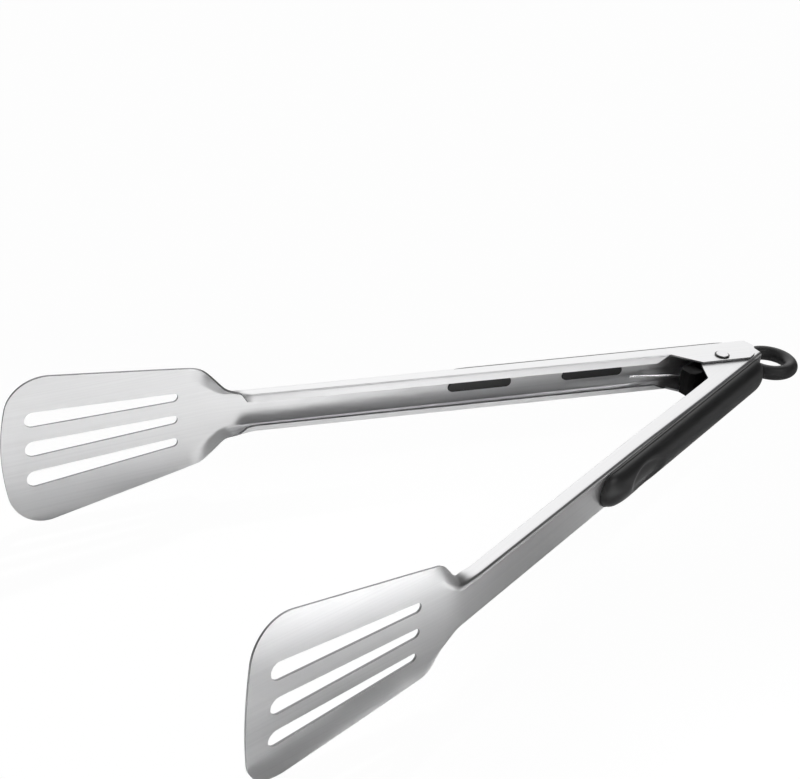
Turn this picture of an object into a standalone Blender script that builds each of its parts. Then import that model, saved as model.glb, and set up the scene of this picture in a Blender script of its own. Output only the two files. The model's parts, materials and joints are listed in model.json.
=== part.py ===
"""Spatula tongs: two slotted turner blades on folded steel arms, sprung open and locked by a pull ring.

The model is built in the hinge's own frame (pivot axis along Z, upper arm's tip towards -X) and is
then moved as a whole, so that the origin is the middle of its bounding box's underside.
Every arm shape is given by s, the distance from the pivot towards the tip, and n, the distance from
the pivot out to the back of the arm. All lengths are in metres.
"""
import math

import bmesh
import bpy
from mathutils import Matrix, Vector

# Sheet and channel of the arms
SHEET = 0.0008
UPPER_WIDTH = 0.0160
EAR_GAP = 0.0002
UPPER_BACK_HEIGHT = 0.0113
LOWER_BACK_HEIGHT = 0.0107
FLANGE_AT_HINGE = 0.0068
FLANGE_AT_NECK = 0.0049
LIP_LENGTH = 0.0027
LIP_TURN = math.radians(68)
BEND_RADIUS = 0.0013
LIP_BEND_RADIUS = 0.0010
EDGE_MINIMUM = 0.00015
LOWER_WIDENING_END = 0.100

# Hinge ears and heel of each arm
HEEL = 0.0168
HEEL_BULGE = 0.0018
HEEL_CUT_BACK = 0.0058
HEEL_BULGE_HEIGHT = 0.0055
HEEL_CUT_HEIGHT = -0.0012
EAR_DROP = 0.0040
EAR_FOOT = 0.0113
EAR_TOP = 0.0212
LIP_BEGINS = 0.0214
LIP_FULL = 0.0278
HEEL_ROWS_FROM = -0.0040

# Neck and blade: places past the blade's bend are counted from it, towards the tip
ARM_LENGTH = 0.2111
LIP_STOPS_BEFORE = 0.0107
LIP_TAPER = 0.0028
UNFOLD_LEAD = 0.0150
UNFOLD_TAIL = 0.0120
NOTCH_PLACE = -0.0024
NOTCH_RUN = 0.0119
NOTCH_ROUNDING = 0.0012
BLADE_TURN = math.radians(10.9)
BLADE_TURN_LENGTH = 0.012
BLADE_LENGTH = 0.0822
SHOULDER_PLACE = 0.0068
SHOULDER_HALF_WIDTH = 0.0203
SHOULDER_ROUNDING = 0.0016
FLARE = 0.0118
TIP_CORNER = 0.0140
TIP_ARC = 0.1000
CUP_RADIUS = 0.174

# Drain slots
SLOT_COUNT = 3
SLOT_ROOT = 0.0158
SLOT_TIP_MARGIN = 0.0085
SLOT_ROOT_WIDTH = 0.0036
SLOT_TIP_WIDTH = 0.0062
SLOT_ROOT_SPACING = 0.0095
SLOT_TIP_SPACING = 0.0121

# Grips and the windows that hold them
GRIP_HEEL_END = 0.0142
GRIP_TIP_END = 0.1200
GRIP_WIDTH = 0.0140
GRIP_HEIGHT = 0.0062
GRIP_NOSE = 0.0180
WINDOW_STARTS = (0.0400, 0.0900)
WINDOW_LENGTH = 0.0275
WINDOW_WIDTH = 0.0046
LUG_STAND = 0.0006
DIMPLE_PLACE = 0.0860
DIMPLE_LENGTH = 0.0300
DIMPLE_WIDTH = 0.0120
DIMPLE_HEIGHT = 0.0080
DIMPLE_DEPTH = 0.0010

# Pivot
OPEN_ANGLE = math.radians(34.4)
RIVET_RADIUS = 0.0022
RIVET_HEAD_RADIUS = 0.0031
RIVET_HEAD_HEIGHT = 0.0006
RIVET_DOME = 0.0003
RIVET_HOLE_CLEARANCE = 0.00015
SLEEVE_WALL = 0.0007
SEAT_GAP = 0.0003
FINE_GAP = 0.0001

# Spring
WIRE = 0.0011
COIL_RADIUS = 0.0042
SPRING_LEG = 0.0370
SPRING_SIDE_GAP = 0.00055
SPRING_RISE = 0.0022

# Lock slider and its ring
LOCK_TRAVEL = 0.0110
LOCK_SIDE_GAP = 0.0005
LOCK_PLATE_GAP = 0.00055
LOCK_FRONT = -0.0210
LOCK_FRONT_HALF = 0.0038
LOCK_FRONT_BLOCK = 0.0045
LOCK_FRONT_CORNER = 0.0015
WEDGE_FRONT = -0.0070
WEDGE_BACK = -0.0020
WEDGE_SWING = 0.0009
WEDGE_CORNER = 0.0010
LOCK_BACK_BLOCK = 0.0070
LOCK_BACK = 0.0120
LOCK_BACK_HALF = 0.0044
TONGUE_REACH = 0.0060
TONGUE_HALF_WIDTH = 0.0020
TONGUE_HALF_HEIGHT = 0.0010
TONGUE_GAP = 0.00015
RING_BELOW_PLATE = 0.0018
RING_RADIUS = 0.0094
RING_TUBE = 0.0031
RING_PLACE = 0.0322
SHANK_HALF_WIDTH = 0.0040
SHANK_HALF_HEIGHT = 0.0019

CUT_OVERRUN = 0.0020


def smooth(share):
    share = min(max(share, 0.0), 1.0)
    return share * share * (3 - 2 * share)


def between(low, high, place):
    return (place - low) / (high - low)


def mix(first, second, share):
    return first + (second - first) * share


def principled(name, colour, roughness, metallic=0.0):
    material = bpy.data.materials.new(name)
    material.use_nodes = True
    shader = material.node_tree.nodes["Principled BSDF"]
    shader.inputs["Base Color"].default_value = (*colour, 1.0)
    shader.inputs["Roughness"].default_value = roughness
    shader.inputs["Metallic"].default_value = metallic
    material.diffuse_color = (*colour, 1.0)
    return material


def collect(name):
    collection = bpy.data.collections.new(name)
    bpy.context.scene.collection.children.link(collection)
    return collection


def new_object(name, mesh, parent, material, collection):
    piece = bpy.data.objects.new(name, mesh)
    collection.objects.link(piece)
    piece.parent = parent
    if material is not None:
        mesh.materials.append(material)
    return piece


def as_cutter(piece):
    piece.hide_render = True
    piece.display_type = "WIRE"
    return piece


def boolean(piece, other, operation="DIFFERENCE"):
    step = piece.modifiers.new(f"{operation.lower()} {other.name}", "BOOLEAN")
    step.operation = operation
    step.object = other
    step.solver = "EXACT"
    return step


def plate_mesh(name, outlines, low, high):
    """A flat plate from closed outlines in X and Y, the first round the others, between two heights."""
    curve = bpy.data.curves.new(name, "CURVE")
    curve.dimensions = "2D"
    curve.fill_mode = "BOTH"
    curve.extrude = (high - low) / 2
    for outline in outlines:
        spline = curve.splines.new("POLY")
        spline.points.add(len(outline) - 1)
        for point, (x, y) in zip(spline.points, outline):
            point.co = (x, y, 0, 1)
        spline.use_cyclic_u = True
    holder = bpy.data.objects.new(name, curve)
    bpy.context.scene.collection.objects.link(holder)
    bpy.context.view_layer.update()
    evaluated = holder.evaluated_get(bpy.context.evaluated_depsgraph_get())
    mesh = bpy.data.meshes.new_from_object(evaluated)
    bpy.data.objects.remove(holder)
    bpy.data.curves.remove(curve)
    mesh.transform(Matrix.Translation((0, 0, (high + low) / 2)))
    weld = bmesh.new()
    weld.from_mesh(mesh)
    bmesh.ops.remove_doubles(weld, verts=weld.verts, dist=EDGE_MINIMUM / 10)
    bmesh.ops.recalc_face_normals(weld, faces=weld.faces)
    weld.to_mesh(mesh)
    weld.free()
    return mesh


def arc(centre, radius, start, end, steps):
    """Points on a circle's arc, with both ends."""
    return [
        (
            centre[0] + radius * math.cos(mix(start, end, i / steps)),
            centre[1] + radius * math.sin(mix(start, end, i / steps)),
        )
        for i in range(steps + 1)
    ]


def capsule(start, start_radius, end, end_radius, steps=7):
    """The outline round two circles on one line, such as a slot that widens."""
    along = Vector(end) - Vector(start)
    heading = math.atan2(along.y, along.x)
    lean = math.asin((start_radius - end_radius) / along.length)
    side = math.pi / 2 - lean
    far = arc(end, end_radius, heading - side, heading + side, steps)
    near = arc(start, start_radius, heading + side, heading + 2 * math.pi - side, steps)
    return far + near


def turned(name, profile, parent, material, collection, steps=32):
    """A round piece about Z from (radius, height) points, top to bottom on the outer side."""
    mesh = bpy.data.meshes.new(name)
    edges = [(i, i + 1) for i in range(len(profile) - 1)]
    if profile[0][0] > 0:
        edges.append((len(profile) - 1, 0))
    mesh.from_pydata([(radius, 0, height) for radius, height in profile], edges, [])
    piece = new_object(name, mesh, parent, material, collection)
    screw = piece.modifiers.new("turn", "SCREW")
    screw.steps = steps
    screw.render_steps = steps
    screw.use_merge_vertices = True
    screw.merge_threshold = EDGE_MINIMUM / 10
    screw.use_smooth_shade = True
    return piece


# Arms: each is one blank of sheet, cut to an outline and folded along it. The shares split half the
# blade's width into what were the web, bend, flange, lip bend and lip of the folded channel
BLADE_SHARES = (0.60, 0.16, 0.12, 0.04, 0.08)
COLUMN_SHARES = ((0.5, 1.0), (1 / 3, 2 / 3, 1.0), (0.5, 1.0), (0.5, 1.0), (0.5, 1.0))
LIP_BEND = LIP_BEND_RADIUS * LIP_TURN
BEND = BEND_RADIUS * math.pi / 2
LIP_ENDS = ARM_LENGTH - LIP_STOPS_BEFORE
FLANGE_ENDS = LIP_ENDS + LIP_TAPER
UNFOLD_BEGINS = ARM_LENGTH - UNFOLD_LEAD
UNFOLD_ENDS = ARM_LENGTH + UNFOLD_TAIL
BLADE_ROOT = UNFOLD_TAIL

# Heights between the ears: the lower arm's ears sit inside the upper arm's, and the spring's two legs
# lie under the lock's plate
LOWER_HALF = UPPER_WIDTH / 2 - SHEET - EAR_GAP
EAR_INSIDE = LOWER_HALF - SHEET
LOCK_TOP = EAR_INSIDE - LOCK_SIDE_GAP
LOWER_LEG_HEIGHT = WIRE / 2 + SPRING_SIDE_GAP - EAR_INSIDE
UPPER_LEG_HEIGHT = LOWER_LEG_HEIGHT + SPRING_RISE
LOCK_PLATE_BOTTOM = UPPER_LEG_HEIGHT + WIRE / 2 + LOCK_PLATE_GAP
RING_HEIGHT = LOCK_PLATE_BOTTOM - RING_BELOW_PLATE


def half_width(arm_half, s):
    """Half the channel's outer width: the lower arm is narrower at the hinge, inside the upper ears."""
    widening = smooth(between(LIP_FULL, LOWER_WIDENING_END, s))
    return mix(arm_half, UPPER_WIDTH / 2, widening)


def flange_straight(s):
    depth = mix(FLANGE_AT_HINGE, FLANGE_AT_NECK, min(max(s / LIP_ENDS, 0), 1))
    return depth - BEND_RADIUS - LIP_BEND_RADIUS * math.sin(LIP_TURN) / 2


def lower_of(first, second, rounding):
    """The lower of two lines, rounded where they cross."""
    return (first + second - math.hypot(first - second, rounding)) / 2


def flare_slope():
    return FLARE / (BLADE_LENGTH - SHOULDER_PLACE)


def blade_half(u):
    """Half the sheet's width at u: the notch, the slanted shoulder and then the flared side."""
    slant = (SHOULDER_HALF_WIDTH - NOTCH_RUN) / (SHOULDER_PLACE - NOTCH_PLACE)
    shoulder = NOTCH_RUN + slant * (u - NOTCH_PLACE)
    side = SHOULDER_HALF_WIDTH + flare_slope() * (u - SHOULDER_PLACE)
    outer = lower_of(shoulder, side, SHOULDER_ROUNDING)
    return -lower_of(-outer, -NOTCH_RUN, NOTCH_ROUNDING)


def tip_corner():
    """Centre of the corner's round and the directions where it meets the side and the tip's arc."""
    slope = flare_slope()
    arc_centre = BLADE_LENGTH - TIP_ARC
    offset = SHOULDER_HALF_WIDTH - slope * SHOULDER_PLACE - TIP_CORNER * math.hypot(1, slope)
    reach = TIP_ARC - TIP_CORNER
    a = 1 + slope * slope
    b = slope * offset - arc_centre
    c = arc_centre * arc_centre + offset * offset - reach * reach
    u = (-b + math.sqrt(b * b - a * c)) / a
    v = slope * u + offset
    return (u, v), math.pi / 2 + math.atan(slope), math.atan2(v, u - arc_centre)


def tip_place(v):
    """How far out the tip's edge lies at v from the middle, as far as the middle of its corner."""
    (u_corner, v_corner), _, at_tip = tip_corner()
    if v <= v_corner + TIP_CORNER * math.sin(at_tip):
        return BLADE_LENGTH - TIP_ARC + math.sqrt(TIP_ARC * TIP_ARC - v * v)
    return u_corner + math.sqrt(TIP_CORNER * TIP_CORNER - (v - v_corner) ** 2)


def blade_rows():
    """Rows over the blade, each as its place in the middle, its place at the side and its half width."""
    (u_corner, v_corner), at_side, at_tip = tip_corner()
    turn = (at_side + at_tip) / 2
    side_end = u_corner + TIP_CORNER * math.cos(at_side)
    corner = (u_corner + TIP_CORNER * math.cos(turn), v_corner + TIP_CORNER * math.sin(turn))
    sides = [mix(BLADE_ROOT, side_end, i / 7) for i in range(1, 8)]
    rows = [(u, blade_half(u)) for u in sides]
    for i in range(1, 6):
        angle = mix(at_side, turn, i / 5)
        place = (u_corner + TIP_CORNER * math.cos(angle), v_corner + TIP_CORNER * math.sin(angle))
        rows.append(place)
    share = (BLADE_LENGTH - BLADE_ROOT) / (corner[0] - BLADE_ROOT)
    return [(BLADE_ROOT + (u - BLADE_ROOT) * share, u, v) for u, v in rows]


def blank_lengths(arm_half, back, s):
    """Lengths of web, bend, flange, lip bend and lip across half the blank at s."""
    web = half_width(arm_half, s) - BEND_RADIUS
    flange = flange_straight(s)
    if s <= EAR_TOP:
        growth = min(between(EAR_TOP, EAR_FOOT, s), 1)
        below = mix(2 * EDGE_MINIMUM, back - BEND_RADIUS + EAR_DROP - flange, growth)
        return [web, BEND, flange, below / 2, below / 2]
    if s < LIP_FULL:
        keep = max(between(LIP_BEGINS, LIP_FULL, s), 0) * (LIP_BEND + LIP_LENGTH)
    else:
        keep = min(max(between(FLANGE_ENDS, LIP_ENDS, s), 0), 1) * (LIP_BEND + LIP_LENGTH)
    lip = max(keep - LIP_BEND, EDGE_MINIMUM)
    lip_bend = min(max(keep - lip, EDGE_MINIMUM), LIP_BEND)
    folded = [web, BEND, flange, lip_bend, lip]
    if s <= UNFOLD_BEGINS:
        return folded
    widening = between(FLANGE_ENDS, ARM_LENGTH + NOTCH_PLACE, s)
    total = mix(sum(folded), blade_half(s - ARM_LENGTH), smooth(widening))
    spread = smooth(between(UNFOLD_BEGINS, UNFOLD_ENDS, s)) * smooth(between(LIP_ENDS, UNFOLD_ENDS, s))
    scale = total / sum(folded)
    return [mix(part * scale, total * share, spread) for part, share in zip(folded, BLADE_SHARES)]


def fold_turns(s, lengths):
    """How far the main bend and the lip bend turn at s."""
    main = math.pi / 2 * (1 - smooth(between(UNFOLD_BEGINS, UNFOLD_ENDS, s)))
    has_lip = EAR_TOP < s < FLANGE_ENDS
    lip = LIP_TURN * min(lengths[3] / LIP_BEND, 1) if has_lip else 0
    return main, lip


def cup_at(s):
    """How much the sheet is cupped across at s."""
    return smooth(between(UNFOLD_BEGINS, UNFOLD_ENDS, s)) / (2 * CUP_RADIUS)


def section(arm_half, back, s):
    """Points (depth, height, run) across half the folded sheet, from the middle outwards."""
    lengths = blank_lengths(arm_half, back, s)
    main, lip = fold_turns(s, lengths)
    turns = (0, main, 0, lip, 0)
    depth, height, heading = 0.0, 0.0, 0.0
    points = [(0.0, 0.0, 0.0)]
    run = 0.0
    for length, turn, shares in zip(lengths, turns, COLUMN_SHARES):
        for share in shares:
            if turn < 1e-6:
                across = (length * share * math.sin(heading), length * share * math.cos(heading))
            else:
                radius = length / turn
                now = heading + turn * share
                across = (
                    radius * (math.cos(heading) - math.cos(now)),
                    radius * (math.sin(now) - math.sin(heading)),
                )
            points.append((depth + across[0], height + across[1], run + length * share))
        depth, height, run = points[-1]
        heading += turn
    return [(depth + cup_at(s) * height * height, height, run) for depth, height, run in points]


def along_arm(back, s):
    """Place and heading of the arm's back at s: straight, then a gentle bend, then the flat blade."""
    start = ARM_LENGTH - BLADE_TURN_LENGTH / 2
    radius = BLADE_TURN_LENGTH / BLADE_TURN
    turned_by = min(max((s - start) / radius, 0), BLADE_TURN)
    x = min(s, start) + radius * math.sin(turned_by)
    drop = radius * (1 - math.cos(turned_by))
    beyond = max(s - start - BLADE_TURN_LENGTH, 0)
    x += beyond * math.cos(BLADE_TURN)
    drop += beyond * math.sin(BLADE_TURN)
    return x, back - drop, turned_by


def heel_edge(run, arm_half, back):
    """Where the heel's edge lies at a distance across the blank: bulged at the flange, then cut back."""
    bend_end = arm_half - BEND_RADIUS + BEND
    n = back - BEND_RADIUS - (run - bend_end)
    if run <= bend_end:
        return -HEEL
    if n > HEEL_BULGE_HEIGHT:
        share = between(back - BEND_RADIUS, HEEL_BULGE_HEIGHT, n)
        return -HEEL - HEEL_BULGE * share
    if n > HEEL_CUT_HEIGHT:
        share = between(HEEL_BULGE_HEIGHT, HEEL_CUT_HEIGHT, n)
        return -HEEL - HEEL_BULGE * (1 - share * 2)
    share = between(HEEL_CUT_HEIGHT, -EAR_DROP, n)
    return mix(-HEEL + HEEL_BULGE, -HEEL + HEEL_CUT_BACK, share)


def arm_stations():
    """Places along the arm, from the hinge to the blade's root, where its section is set."""
    hinge = [mix(HEEL_ROWS_FROM, EAR_FOOT, share) for share in (0, 0.5, 1)]
    ears = [mix(EAR_FOOT, EAR_TOP, share) for share in (1 / 3, 2 / 3, 1)]
    lips = [LIP_BEGINS, mix(LIP_BEGINS, LIP_FULL, 0.2), mix(LIP_BEGINS, LIP_FULL, 0.45), LIP_FULL]
    channel = [mix(LIP_FULL, LOWER_WIDENING_END, share) for share in (0.2, 0.4, 0.6, 0.8, 1)]
    channel += [mix(LOWER_WIDENING_END, UNFOLD_BEGINS, share) for share in (0.5, 1)]
    neck = [mix(UNFOLD_BEGINS, LIP_ENDS, share) for share in (0.5, 1)]
    neck += [mix(LIP_ENDS, FLANGE_ENDS, share) for share in (0.4, 0.8, 1)]
    notch = ARM_LENGTH + NOTCH_PLACE
    neck += [mix(FLANGE_ENDS, notch, share / 3) for share in range(1, 4)]
    neck += [mix(notch, UNFOLD_ENDS, share / 9) for share in range(1, 10)]
    return hinge + ears + lips + channel + neck


def sheet_rows(arm_half, back):
    """Rows of points (s, n, height) across half the arm, from the heel's edge to the blade's tip."""
    first = section(arm_half, back, HEEL_ROWS_FROM)
    rows = []
    for share in (1, 2 / 3, 1 / 3):
        places = [mix(HEEL_ROWS_FROM, heel_edge(run, arm_half, back), share) for _, _, run in first]
        rows.append([(s, back - depth, height) for s, (depth, height, _) in zip(places, first)])
    for s in arm_stations():
        x, n, turned_by = along_arm(back, s)
        row = []
        for depth, height, _ in section(arm_half, back, s):
            row.append((x - depth * math.sin(turned_by), n - depth * math.cos(turned_by), height))
        rows.append(row)
    last = section(arm_half, back, UNFOLD_ENDS)
    column_shares = [run / last[-1][2] for _, _, run in last]
    blade = blade_rows()
    _, corner_u, corner_v = blade[-1]
    for middle_u, side_u, half in blade:
        row = []
        for share in column_shares:
            pull = (BLADE_LENGTH - tip_place(share * corner_v)) / (BLADE_LENGTH - corner_u)
            s = ARM_LENGTH + mix(middle_u, side_u, pull)
            height = share * half
            depth = cup_at(s) * height * height
            x, n, turned_by = along_arm(back, s)
            row.append((x - depth * math.sin(turned_by), n - depth * math.cos(turned_by), height))
        rows.append(row)
    return rows


def arm_mesh(name, arm_half, back, side):
    """The folded blank as one open surface whose faces look outwards; side is +1 for the upper arm."""
    mesh = bmesh.new()
    grid = []
    for row in sheet_rows(arm_half, back):
        places = [(-s, side * n, height) for s, n, height in row]
        lower = [mesh.verts.new((x, y, -z)) for x, y, z in reversed(places[1:])]
        upper = [mesh.verts.new(place) for place in places]
        grid.append(lower + upper)
    for near, far in zip(grid, grid[1:]):
        for i in range(len(near) - 1):
            corners = (near[i], near[i + 1], far[i + 1], far[i])
            mesh.faces.new(corners if side < 0 else corners[::-1])
    data = bpy.data.meshes.new(name)
    mesh.to_mesh(data)
    mesh.free()
    return data


def blade_frame(back, side):
    """Blade axes: X runs from the bend to the tip, Y up the blade's width, Z out of its back."""
    middle = ARM_LENGTH + BLADE_LENGTH / 2
    x, n, _ = along_arm(back, middle)
    along = Vector((-math.cos(BLADE_TURN), -side * math.sin(BLADE_TURN), 0))
    up = Vector((0, 0, 1))
    out = along.cross(up)
    frame = Matrix((along, up, out)).transposed().to_4x4()
    frame.translation = Vector((-x, side * n, 0)) - along * BLADE_LENGTH / 2
    return frame


def build_arm(name, side, arm_half, back, parent, steel, parts, cutters):
    arm = new_object(name, arm_mesh(name, arm_half, back, side), parent, steel, parts)
    sheet = arm.modifiers.new("sheet", "SOLIDIFY")
    sheet.thickness = SHEET
    sheet.offset = -1
    sheet.use_even_offset = True
    cut = []
    for i in range(SLOT_COUNT):
        row = i - (SLOT_COUNT - 1) / 2
        outline = capsule(
            (SLOT_ROOT + SLOT_ROOT_WIDTH / 2, row * SLOT_ROOT_SPACING),
            SLOT_ROOT_WIDTH / 2,
            (BLADE_LENGTH - SLOT_TIP_MARGIN - SLOT_TIP_WIDTH / 2, row * SLOT_TIP_SPACING),
            SLOT_TIP_WIDTH / 2,
        )
        reach = CUT_OVERRUN + SHEET + SHOULDER_HALF_WIDTH * SHOULDER_HALF_WIDTH / (2 * CUP_RADIUS)
        mesh = plate_mesh(f"{name}_slot_{i + 1}_cut", [outline], -reach, reach)
        mesh.transform(blade_frame(back, side))
        cut.append(mesh)
    for i, start in enumerate(WINDOW_STARTS):
        half = WINDOW_WIDTH / 2
        outline = capsule((start + half, 0), half, (start + WINDOW_LENGTH - half, 0), half)
        reach = SHEET + CUT_OVERRUN
        mesh = plate_mesh(f"{name}_window_{i + 1}_cut", [outline], -reach, reach)
        mesh.transform(back_frame(back, side))
        cut.append(mesh)
    hole = arc((0, 0), RIVET_RADIUS + RIVET_HOLE_CLEARANCE, 0, 2 * math.pi, 24)[:-1]
    reach = UPPER_WIDTH / 2 + CUT_OVERRUN
    cut.append(plate_mesh(f"{name}_pivot_cut", [hole], -reach, reach))
    for mesh in cut:
        boolean(arm, as_cutter(new_object(mesh.name, mesh, parent, None, cutters)))
    return arm


def back_frame(back, side):
    """Puts an outline in s and height on an arm's back, facing out on the upper arm."""
    along = Vector((-1, 0, 0))
    up = Vector((0, 0, 1))
    frame = Matrix((along, up, along.cross(up))).transposed().to_4x4()
    frame.translation = Vector((0, side * back, 0))
    return frame


# Grips: half-round mouldings on the arms' backs, with lugs through the windows
def grip_mesh(name, back, side):
    """A half-round bar with round ends, as rings of points from heel end to tip end."""
    half = GRIP_WIDTH / 2
    length = GRIP_HEEL_END + GRIP_TIP_END
    rounding = [1 - math.cos(math.pi / 2 * i / 7) for i in range(1, 7)]
    ends = [0.03 * half] + [GRIP_NOSE * share for share in rounding[1:]]
    places = ends + [mix(GRIP_NOSE, length - GRIP_NOSE, i / 4) for i in range(5)]
    places += [length - end for end in reversed(ends)]
    base = back + FINE_GAP
    mesh = bmesh.new()
    rings = []
    for place in places:
        near = min(place, length - place)
        plan = math.sqrt(max(1 - (1 - min(near / half, 1)) ** 2, 0))
        rise = math.sqrt(max(1 - (1 - min(near / GRIP_NOSE, 1)) ** 2, 0))
        ring = []
        for i in range(13):
            turn = math.pi * i / 12
            ring.append((half * plan * math.cos(turn), GRIP_HEIGHT * rise * math.sin(turn)))
        ring.append((0, 0))
        x = GRIP_HEEL_END - place
        rings.append([mesh.verts.new((x, side * (base + lift), across)) for across, lift in ring])
    for near, far in zip(rings, rings[1:]):
        for i in range(len(near)):
            j = (i + 1) % len(near)
            mesh.faces.new((near[i], near[j], far[j], far[i]))
    mesh.faces.new(rings[0])
    mesh.faces.new(rings[-1])
    bmesh.ops.recalc_face_normals(mesh, faces=mesh.faces)
    data = bpy.data.meshes.new(name)
    mesh.to_mesh(data)
    mesh.free()
    return data


def build_grip(name, side, back, parent, rubber, parts, cutters):
    grip = new_object(name, grip_mesh(name, back, side), parent, rubber, parts)
    half = WINDOW_WIDTH / 2 - SEAT_GAP
    for i, start in enumerate(WINDOW_STARTS):
        outline = capsule(
            (start + WINDOW_WIDTH / 2, 0), half, (start + WINDOW_LENGTH - WINDOW_WIDTH / 2, 0), half
        )
        low, high = sorted((-side * (SHEET + LUG_STAND), side * CUT_OVERRUN))
        mesh = plate_mesh(f"{name}_lug_{i + 1}", [outline], low, high)
        mesh.transform(back_frame(back, side))
        lug = as_cutter(new_object(mesh.name, mesh, parent, None, cutters))
        boolean(grip, lug, "UNION")
    bpy.ops.mesh.primitive_uv_sphere_add(segments=24, ring_count=12, radius=0.5)
    dimple = bpy.context.object
    dimple.name = f"{name}_dimple_cut"
    shape = Matrix.Diagonal((DIMPLE_LENGTH, DIMPLE_HEIGHT, DIMPLE_WIDTH, 1))
    top = back + FINE_GAP + GRIP_HEIGHT - DIMPLE_DEPTH + DIMPLE_HEIGHT / 2
    dimple.data.transform(Matrix.Translation((-DIMPLE_PLACE, side * top, 0)) @ shape)
    for collection in list(dimple.users_collection):
        collection.objects.unlink(dimple)
    cutters.objects.link(dimple)
    dimple.parent = parent
    boolean(grip, as_cutter(dimple))
    grip.data.shade_smooth()
    grip.data.set_sharp_from_angle(angle=math.radians(40))
    return grip


# Pivot: a rivet through all four ears, and the sleeve that it clamps
def build_rivet(parent, steel, parts):
    head = UPPER_WIDTH / 2 + FINE_GAP
    top = head + RIVET_HEAD_HEIGHT
    flat = RIVET_HEAD_RADIUS * 0.7
    half = [(0, top), (flat, top), (RIVET_HEAD_RADIUS, top - RIVET_DOME), (RIVET_HEAD_RADIUS, head)]
    half.append((RIVET_RADIUS, head))
    profile = half + [(radius, -height) for radius, height in reversed(half)]
    return turned("pivot_rivet", profile, parent, steel, parts, 32)


def build_sleeve(parent, steel, parts):
    inner = RIVET_RADIUS + FINE_GAP
    outer = inner + SLEEVE_WALL
    half = EAR_INSIDE - SEAT_GAP / 2
    profile = [(inner, half), (outer, half), (outer, -half), (inner, -half)]
    return turned("pivot_sleeve", profile, parent, steel, parts, 32)


# Spring: one wire, a leg along each arm's back and one and a third turns round the sleeve
def spring_points():
    """Leg end on the upper back, tangent to the coil, round it, and out to the lower back."""
    leg_n = LOWER_BACK_HEIGHT - SHEET - WIRE / 2 - SEAT_GAP
    reach = math.hypot(SPRING_LEG, leg_n)
    slope = math.atan2(leg_n, SPRING_LEG) - math.asin(COIL_RADIUS / reach) + OPEN_ANGLE / 2
    start = math.pi / 2 - slope
    sweep = 2 * start + 2 * math.pi
    leg = math.sqrt(reach * reach - COIL_RADIUS * COIL_RADIUS)
    rise = UPPER_LEG_HEIGHT - LOWER_LEG_HEIGHT
    points = []
    for i in range(5):
        out = leg * (1 - i / 5)
        root = Vector((COIL_RADIUS * math.cos(start), COIL_RADIUS * math.sin(start), UPPER_LEG_HEIGHT))
        points.append(root + out * Vector((-math.cos(slope), math.sin(slope), 0)))
    turns = 34
    for i in range(turns + 1):
        turn = start - sweep * i / turns
        height = UPPER_LEG_HEIGHT - rise * i / turns
        points.append(Vector((COIL_RADIUS * math.cos(turn), COIL_RADIUS * math.sin(turn), height)))
    for i in range(1, 6):
        out = leg * i / 5
        root = Vector((COIL_RADIUS * math.cos(start), -COIL_RADIUS * math.sin(start), LOWER_LEG_HEIGHT))
        points.append(root + out * Vector((-math.cos(slope), -math.sin(slope), 0)))
    return points


def least_gap(points):
    """The least gap between lengths of the wire that are more than a third of a turn apart."""
    apart = 8
    pairs = ((first - second).length for i, first in enumerate(points) for second in points[i + apart :])
    return min(pairs) - WIRE


def build_spring(parent, steel, parts):
    points = spring_points()
    print(f"torsion_spring: least gap to itself {least_gap(points) * 1000:.2f} mm")
    curve = bpy.data.curves.new("torsion_spring", "CURVE")
    curve.dimensions = "3D"
    curve.bevel_depth = WIRE / 2
    curve.bevel_resolution = 1
    curve.use_fill_caps = True
    spline = curve.splines.new("POLY")
    spline.points.add(len(points) - 1)
    for knot, place in zip(spline.points, points):
        knot.co = (*place, 1)
    spline.use_smooth = True
    spring = bpy.data.objects.new("torsion_spring", curve)
    parts.objects.link(spring)
    spring.parent = parent
    curve.materials.append(steel)
    return spring


# Lock: a slider between the ears, slotted round the sleeve, with a wedge that spreads the heels
def lock_outline():
    wedge_half = LOWER_BACK_HEIGHT - SHEET - WEDGE_SWING
    half = [
        (LOCK_FRONT, LOCK_FRONT_HALF - LOCK_FRONT_CORNER),
        (LOCK_FRONT + LOCK_FRONT_CORNER, LOCK_FRONT_HALF),
        (WEDGE_FRONT - wedge_half + LOCK_FRONT_HALF + WEDGE_CORNER, LOCK_FRONT_HALF),
        (WEDGE_FRONT, wedge_half - WEDGE_CORNER),
        (WEDGE_FRONT + WEDGE_CORNER, wedge_half),
        (WEDGE_BACK, wedge_half),
        (LOCK_BACK_BLOCK, LOCK_BACK_HALF),
        (LOCK_BACK, LOCK_BACK_HALF),
    ]
    return half + [(x, -y) for x, y in reversed(half)]


def block_mesh(name, x_range, half, z_range):
    low, high = x_range
    outline = [(low, -half), (high, -half), (high, half), (low, half)]
    return plate_mesh(name, [outline], *z_range)


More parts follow.
